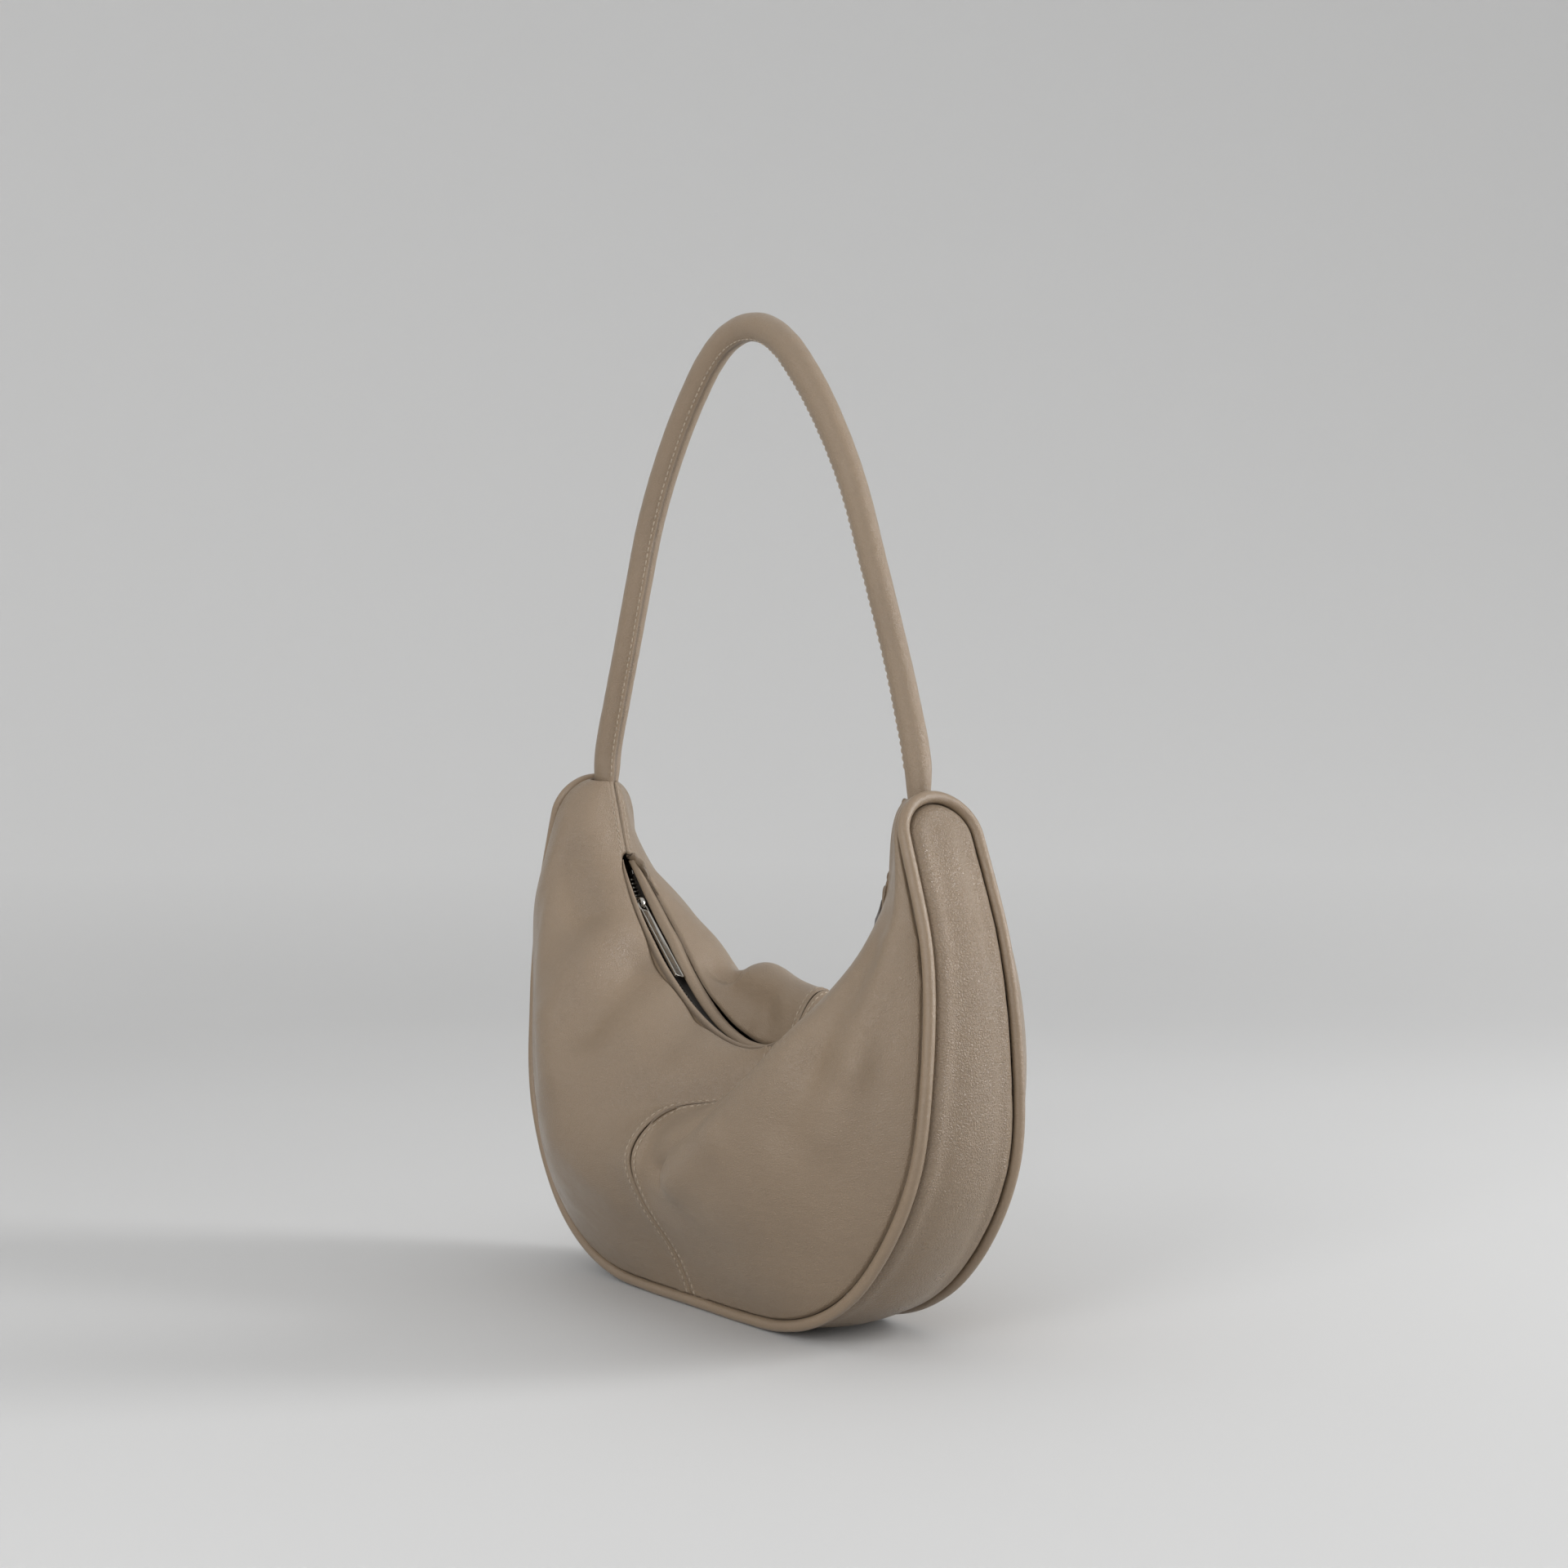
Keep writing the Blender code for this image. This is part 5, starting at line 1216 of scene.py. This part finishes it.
class BAG_OT_facings(bpy.types.Operator):
    """Makes the rolled leather welts between the panels and the zip"""

    bl_idname = "bag.facings"
    bl_label = "Zip facings"

    def execute(self, context):
        shape = shape_of(context)
        angle = np.linspace(-0.975, 0.975, 260) * shape.opening_end
        sag = shape.rises(angle)[2]
        for side, sign, pick in (("front", -1, 0), ("back", 1, 1)):
            grid = welt(shape, angle, sign, shape.rises(angle)[pick], sag, WELT_WIDTHS[pick])
            surface = (f"welt_{side}", grid, "facing_leather", "taupe_leather", f"zip_facing_{side}")
            obj = add_surface(context, *surface, loop_columns=True, capped=True)
            # Painted shade along the welt's outer edge, where it tucks under against the panel
            add_seam_shade(obj, np.tile(bell(np.arange(grid.shape[1]), 2.2), (len(angle), 1)))
            smooth = obj.modifiers.new("soft", "SUBSURF")
            smooth.levels = 1
            smooth.render_levels = 1
        return {"FINISHED"}


def welt(shape, angle, sign, lip, sag, widen):
    """A rolled strip along the zip: its section's top follows the lip and its foot the tape. A wider
    one reaches further out and further in."""
    y, share, height = np.array(WELT_SECTION).T
    outer = y[0]
    y = outer * widen - (outer - y) * widen**1.9
    height = height + 4.5 * max(0.0, widen - 1) * share * bell(y - 0.75 * outer, 2.5)
    k = shape.opening(angle)[:, None]
    across = sign * (0.25 * MM + y * MM * k)
    lift = share * lip[:, None] + (1 - share) * sag[:, None] + (height - 2.5 * (1 - k)) * MM
    return shape.zip_point(angle[:, None], across, lift)


class BAG_OT_zip(bpy.types.Operator):
    """Makes the zip's two woven tapes, its two rows of metal teeth and their stops"""

    bl_idname = "bag.zip"
    bl_label = "Zip tapes and teeth"

    def execute(self, context):
        shape = shape_of(context)
        plated = material_for(context, "plated_teeth")
        for side, sign in (("front", -1), ("back", 1)):
            surface = (f"tape_{side}", tape(shape, sign), "woven_tape", "zip_tape", f"zip_tape_{side}")
            add_surface(context, *surface, loop_columns=True, capped=True)
            mesh = joined(f"teeth_{side}", [teeth(shape, sign)])
            add_piece(f"teeth_{side}", mesh, plated, stands_for=(f"zip_teeth_{side}",))
        nodes = ("zip_top_stop_front", "zip_top_stop_back", "zip_bottom_stop")
        add_piece("stops", joined("stops", stops(shape)), plated, stands_for=nodes)
        return {"FINISHED"}


def tape(shape, sign):
    """A woven strip along the zip with a corded edge by the teeth, sagging with the zip."""
    angle = np.linspace(-TAPE_END, TAPE_END, 300)
    y, height = np.array(TAPE_SECTION).T * MM
    across = sign * np.minimum(y + shape.parting(angle)[:, None], TAPE_REACHES[sign])
    return shape.zip_point(angle[:, None], across, shape.rises(angle)[2][:, None] + height)


def teeth(shape, sign):
    """One row of teeth: each a waisted block whose head locks between two of the other row."""
    pitch = TOOTH_PITCH / shape.sizes.zip_radius
    shift = 0.25 if sign < 0 else 0.75
    angle = -TEETH_END + (np.arange(int(2 * TEETH_END / pitch)) + shift) * pitch
    step = math.radians(0.4)
    turns = (angle - step, angle, angle + step)
    before, here, after = [shape.zip_point(turn, 0.0, shape.rises(turn)[2]) for turn in turns]
    ahead = unit(after - before)
    up = in_space(-ahead[:, 2], ahead[:, 0])
    reach, half_long, half_high = np.array(TOOTH).T[..., None] * MM
    ring_x, ring_z = squared_ring(8).T
    rings = in_space(half_long * ring_x, half_high * ring_z, -sign * reach)
    side = np.repeat([[0.0, 1.0, 0.0]], len(angle), axis=0)
    return copies(rings, here + side * sign * shape.parting(angle)[:, None], ahead, side, up, -sign)


def placed(shape, angle, parts):
    """Solids in the slider's frame, X along the zip and Z up from the tape, put at an angle of the arc
    and let down by the tape's sag there."""
    radius = shape.sizes.zip_radius - float(shape.rises(angle)[2])
    origin = (radius * math.sin(angle), 0.0, shape.axis_height - radius * math.cos(angle))
    return [(turned(points, angle) + origin, faces) for points, faces in parts]


def stops(shape):
    """Crimped stops: one over each parted row by the left horn, one across both rows by the right."""
    half_long, half_high = 1.15 * MM, 1.35 * MM
    profile = round_edges(-half_high, half_high, 0.35 * MM)
    outline = rectangle(-half_long, half_long, 0.6 * MM, 0.3 * MM)
    aside = 1.7 * MM + shape.parting_most
    top = [slab(outline + (0.0, sign * aside), profile) for sign in (-1, 1)]
    bottom = slab(rectangle(-half_long, half_long, 2.2 * MM, 0.5 * MM), profile)
    return placed(shape, -STOPS_AT, top) + placed(shape, STOPS_AT, [bottom])


def add_metal(context, name, parts, body, node):
    """Adds a nickel-plated piece from solids in millimetres in the slider's frame, where it rests."""
    shape = shape_of(context)
    parts = [(points * MM, faces) for points, faces in parts]
    mesh = joined(name, placed(shape, shape.slider_rest, parts))
    mesh.set_sharp_from_angle(angle=math.radians(50.0))
    add_piece(name, mesh, material_for(context, "bright_nickel"), body, stands_for=(node,))


class BAG_OT_slider(bpy.types.Operator):
    """Makes the slider, two rounded plates round the teeth with flanges, a post and a crown"""

    bl_idname = "bag.slider"
    bl_label = "Slider"

    def execute(self, context):
        add_metal(context, "slider_body", slider_parts(), "slider", "zip_slider")
        return {"FINISHED"}


def slider_parts():
    """The slider's solids in its own frame, each with rounded edges, in millimetres."""
    nose, tail, wide, narrow, wall = -5.5, 5.5, 5.0, 3.6, 0.7
    plates, plate, cut = (1.3, -2.3), 1.0, 1.3
    half = [(nose, wide - cut), (nose + 1.0, wide), (0.0, wide), (tail, narrow)]
    outline = rounded([(x, -y) for x, y in half[1:]] + half[:0:-1] + [half[0], (nose, cut - wide)], 1.2, 6)
    parts = [slab(outline, round_edges(low, low + plate, 0.35)) for low in plates]
    for sign in (-1, 1):
        outer = [(nose + 1.0, wide), (0.0, wide), (tail - 0.6, narrow + 0.15)]
        flange = [(x, sign * y) for x, y in outer] + [(x, sign * (y - wall)) for x, y in outer[::-1]]
        for low in (0.65, -1.5):
            parts.append(slab(rounded(flange, 0.25, 3), round_edges(low, low + 0.85, 0.15)))
    post = [(nose + 0.2, -1.0), (-1.5, -0.3), (-1.5, 0.3), (nose + 0.2, 1.0)]
    parts.append(slab(rounded(post, 0.25, 3), [(0.0, -1.6), (0.0, 1.6)]))
    path = in_space(*smooth_path(CROWN, 33).T)
    side = np.repeat([[0.0, 1.0, 0.0]], len(path), axis=0)
    ahead = unit(np.gradient(path, axis=0))
    return parts + [bar_along(path, side, np.cross(ahead, side), 1.2, 0.58)]


class BAG_OT_puller(bpy.types.Operator):
    """Makes the puller, a long plated bar with a raised rim, hung by a stirrup on the slider's crown"""

    bl_idname = "bag.puller"
    bl_label = "Puller"

    def execute(self, context):
        parts = [(turned(points, PULLER_LIFT) + PULLER_PIVOT, faces) for points, faces in puller_parts()]
        add_metal(context, "puller_bar", parts, "puller", "zip_puller")
        return {"FINISHED"}


def puller_parts():
    """The puller's bar and stirrup in the frame of its pivot, X along the bar, rolled to the back as it
    hangs, in millimetres."""
    neck, length, half, thick = 4.9, 49.0, 3.0, 0.8
    profile = [(0.9, 0.15 - thick), (0.75, -thick)] + round_edges(-thick, thick, 0.28)
    profile += [(0.75, thick), (0.9, thick - 0.15)]
    bar = slab(rectangle(neck, length, half, 1.3, 7), profile)
    x, y = smooth_path(STIRRUP, 41).T
    path = in_space(x, 0.0, y)
    up = np.repeat([[0.0, 0.0, 1.0]], len(path), axis=0)
    across = np.cross(unit(np.gradient(path, axis=0)), up)
    stirrup = bar_along(path, across, up, 0.62, 0.70, power=2.6)
    return [(turned(points, PULLER_ROLL, 1, 2), faces) for points, faces in (bar, stirrup)]


class BAG_OT_handle(bpy.types.Operator):
    """Makes the rolled handle, a tube with a lapped seam, its flattened ends sewn inside the horns"""

    bl_idname = "bag.handle"
    bl_label = "Handle"

    def execute(self, context):
        shape = shape_of(context)
        grid, lap, lap_normals = handle_surface(shape)
        mesh = grid_mesh("handle_roll", grid, loop_columns=True, capped=True)
        material = material_for(context, "rolled_leather")
        nodes = ("handle_sleeve", "handle_core", "handle_tab_left", "handle_tab_right")
        roll = add_piece("handle_roll", mesh, material, body=None, stands_for=nodes)
        # Painted shade in the groove of the lapped seam
        add_seam_shade(roll, np.tile(0.8 * bell(np.arange(grid.shape[1]) - LAP_COLUMN, 1.0), (len(grid), 1)))
        row = stitches(shape.sizes, lap, lap_normals, length=2.5 * MM, pitch=3.3 * MM)
        mesh, material = joined("handle_stitches", [row]), material_for(context, "thread")
        thread = add_piece("handle_stitches", mesh, material, body=None)
        for obj in (roll, thread):
            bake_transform(obj)
        return {"FINISHED"}


def handle_surface(shape):
    """A tube along the handle's arch. Its section is round, pressed flat towards its sewn ends, with one
    edge of the leather lapped over the other along the inner back side: a step up, then a slow fall. Its
    right limb has settled: it bends outwards and to the back, and is slimmer."""
    sizes, root = shape.sizes, shape.pivot_height
    half = [(x * sizes.handle_root, root + z * sizes.handle_rise) for x, z in HANDLE_SHARES]
    foot = sizes.height - 24.0 * MM
    ends = [(sizes.handle_root + 2.2 * MM, root - 18.0 * MM), (sizes.handle_root + 5.0 * MM, foot)]
    curve = smooth_path(both_sides(half + ends, (-1, 1)), 1601)
    curve[:, 1] -= RIGHT_HORN_DROP * ramp(curve[:, 0], 0.6 * sizes.handle_root, sizes.handle_root)
    along = running(curve)
    run = np.linspace(0.0, along[-1], 420)
    x, z = at(along, curve, run).T
    ahead = unit(np.gradient(np.stack([x, z], axis=1), axis=0))
    outward = in_space(-ahead[:, 1], ahead[:, 0])[:, None]
    settled = ramp(x, 0.3 * sizes.handle_root, 0.9 * sizes.handle_root)
    bent = settled * bell(z - root - 30.0 * MM, 62.0 * MM)
    middle = in_space(x + 2.2 * MM * bent, z, 2.0 * MM * bent)
    turn = np.linspace(0.0, 2 * math.pi, 48, endpoint=False)
    swing = LAP_FACES + LAP_WINDS * np.sin(np.linspace(-1.2, 1.4, len(run)))
    around = turn + swing[:, None]
    past = np.mod(turn - turn[LAP_COLUMN], 2 * math.pi)
    before = np.mod(turn[LAP_COLUMN] - turn, 2 * math.pi)
    lap = LAP_HEIGHT * np.exp(-past / 1.1) * (1 - np.exp(-past / 0.05))
    lap -= LAP_GROOVE * np.exp(-before / 0.12)
    press = ramp(z, foot, root - 4.0 * MM)[:, None]
    flare = 0.5 * MM * ramp(-z, -(root + 45.0 * MM), -root)[:, None]
    flat = 2.4 * MM
    ripple = wavering(run, *SLEEVE_WAVE)[:, None] * np.cos(around)
    out = (sizes.handle_radius + flare * press + lap + ripple) * np.cos(around)
    over = (flat + (sizes.handle_radius - flat) * press + lap * press + ripple) * np.sin(around)
    slim = (1.03 - 0.16 * settled)[:, None, None]
    grid = middle[:, None] + (outward * out[..., None] + np.array([0.0, 1.0, 0.0]) * over[..., None]) * slim
    line = grid[:, LAP_COLUMN + 3]
    seen = z > root - 12.0 * MM
    return grid, line[seen], unit(line - middle)[seen]


class BAG_OT_stitches(bpy.types.Operator):
    """Makes the topstitching: a row each side of the centre seams and of the horn seams"""

    bl_idname = "bag.stitches"
    bl_label = "Stitches"

    def execute(self, context):
        shape = shape_of(context)
        places = panel_stations(shape)
        horn = (places > shape.close + 0.004) & (places < 1 - 0.2 * (1 - shape.close))
        parts = []
        for side in ("front", "back"):
            for end in (-1, 1):
                grid, normal, _, lip, centre = half_panel(shape, side, end, places, panel_shares())
                upright = (grid.transpose(1, 0, 2), normal.transpose(1, 0, 2), centre.T)
                parts.append(stitches(shape.sizes, *edge_line(*upright, slice(4, -6))))
                parts.append(stitches(shape.sizes, *edge_line(grid, normal, lip, horn), pitch=3.0 * MM))
        mesh, material = joined("panel_stitches", parts), material_for(context, "thread")
        add_piece("panel_stitches", mesh, material)
        return {"FINISHED"}


class BAG_OT_stage(bpy.types.Operator):
    """Makes the pale sweep of paper, the soft lights and the camera at the photograph's angle"""

    bl_idname = "bag.stage"
    bl_label = "Stage"

    def execute(self, context):
        settings = context.scene.bag_stage
        make_sweep(settings)
        make_lights(context, settings)
        make_camera(context, settings)
        return {"FINISHED"}


def make_sweep(settings):
    """A bowl of paper: flat by the bag, curving up on a quarter circle into a wall all round."""
    flat, curve, wall = 1.3, 2.6, 3.4
    turn = np.linspace(0.0, math.pi / 2, 25)
    radius = np.concatenate([np.linspace(0.02, flat, 20), flat + curve * np.sin(turn)[1:], [flat + curve]])
    height = np.concatenate([np.zeros(20), curve * (1 - np.cos(turn))[1:], [wall]])
    around = np.linspace(0.0, 2 * math.pi, 97)[:-1]
    grid = in_space(radius[:, None] * np.cos(around), height[:, None], radius[:, None] * np.sin(around))
    index = np.arange(grid[..., 0].size).reshape(grid.shape[:2])
    index = np.concatenate([index, index[:, :1]], axis=1)
    quads = cells_of(index).reshape(-1, 4)[:, ::-1].tolist()
    mesh = joined("paper_sweep", [(grid, quads + [index[0, :-1].tolist()])])
    mesh.materials.append(paper_finish("seamless_paper", settings.floor_colour))
    obj = bpy.data.objects.new("paper_sweep", mesh)
    bpy.context.scene.collection.objects.link(obj)


def facing_matrix(place, aim):
    """A matrix at a place whose -Z looks along aim, with its X level."""
    right = unit(np.cross(aim, (0.0, 0.0, 1.0)))
    rows = np.eye(4)
    rows[:3] = np.stack([right, np.cross(right, aim), -aim, place], axis=1)
    return Matrix(rows.tolist())


def add_light(context, name, power, size, place, target):
    """A softbox at a place, turned to its target."""
    data = bpy.data.lights.new(name, "AREA")
    data.shape = "RECTANGLE"
    data.size, data.size_y = size
    data.energy = power
    obj = bpy.data.objects.new(name, data)
    context.scene.collection.objects.link(obj)
    obj.matrix_world = facing_matrix(place, unit(target - place))


# Each light, its power's setting, its size, and how far it stands ahead, to the right and up, in metres,
# and the height above the floor that they are turned to
LIGHTS = (
    ("overhead", "overhead_power", (3.6, 3.6), (0.0, -0.2, 3.2)),
    ("left_box", "left_power", (0.7, 0.9), (-1.6, -0.9, 0.8)),
    ("right_box", "right_power", (0.55, 1.3), (-0.05, 2.0, 0.75)),
)
LIT_HEIGHT = 0.18


def make_lights(context, settings):
    """A large box overhead, a box at the camera's left and a tall one at its right, and even light."""
    turn = settings.camera_turn
    ahead = np.array([-math.sin(turn), math.cos(turn), 0.0])
    right = np.array([ahead[1], -ahead[0], 0.0])
    up = np.array([0.0, 0.0, 1.0])
    for name, power, size, stand in LIGHTS:
        place = np.array(stand) @ np.array([ahead, right, up])
        add_light(context, name, getattr(settings, power), size, place, up * LIT_HEIGHT)
    world = bpy.data.worlds.new("studio")
    world.use_nodes = True
    background = world.node_tree.nodes["Background"]
    background.inputs["Color"].default_value = (1.0, 0.995, 0.985, 1.0)
    background.inputs["Strength"].default_value = settings.ambient
    context.scene.world = world
    context.scene.view_settings.view_transform = "Standard"


def make_camera(context, settings):
    """A camera that looks level over the bag, turned a little past its middle."""
    data = bpy.data.cameras.new("camera")
    data.sensor_fit = "HORIZONTAL"
    data.sensor_width = 36.0
    data.lens = settings.lens
    data.clip_start = 0.01
    obj = bpy.data.objects.new("camera", data)
    context.scene.collection.objects.link(obj)
    turn, distance, tilt = settings.camera_turn, settings.camera_distance, settings.camera_tilt
    place = np.array([distance * math.sin(turn), -distance * math.cos(turn), settings.camera_height])
    heading = math.pi / 2 + turn + settings.camera_yaw
    level = math.cos(tilt)
    aim = np.array([math.cos(heading) * level, math.sin(heading) * level, -math.sin(tilt)])
    obj.matrix_world = facing_matrix(place, aim)
    context.scene.camera = obj


OPERATORS = (
    BAG_OT_stage, BAG_OT_panels, BAG_OT_gusset, BAG_OT_piping, BAG_OT_linings, BAG_OT_facings, BAG_OT_zip,
    BAG_OT_slider, BAG_OT_puller, BAG_OT_handle, BAG_OT_stitches,
)


class BAG_PT_sidebar(bpy.types.Panel):
    """Lists the bag's sizes, colours and pieces in the sidebar"""

    bl_idname = "BAG_PT_sidebar"
    bl_label = "Crescent bag"
    bl_space_type = "VIEW_3D"
    bl_region_type = "UI"
    bl_category = "Bag"

    def draw(self, context):
        layout = self.layout
        for group in (context.scene.bag_sizes, context.scene.bag_colours, context.scene.bag_stage):
            box = layout.box()
            for name in group.__annotations__:
                box.prop(group, name)
        column = layout.column()
        for operator in OPERATORS:
            column.operator(operator.bl_idname)


GROUPS = (("bag_sizes", BagSizes), ("bag_colours", BagColours), ("bag_stage", StageSettings))


def register():
    for name, group in GROUPS:
        bpy.utils.register_class(group)
        setattr(bpy.types.Scene, name, PointerProperty(type=group))
    for operator in OPERATORS:
        bpy.utils.register_class(operator)
    bpy.utils.register_class(BAG_PT_sidebar)


def unregister():
    bpy.utils.unregister_class(BAG_PT_sidebar)
    for operator in reversed(OPERATORS):
        bpy.utils.unregister_class(operator)
    for name, group in reversed(GROUPS):
        delattr(bpy.types.Scene, name)
        bpy.utils.unregister_class(group)


def main():
    register()
    for operator in OPERATORS:
        group, name = operator.bl_idname.split(".")
        getattr(getattr(bpy.ops, group), name)()


if __name__ == "__main__":
    main()
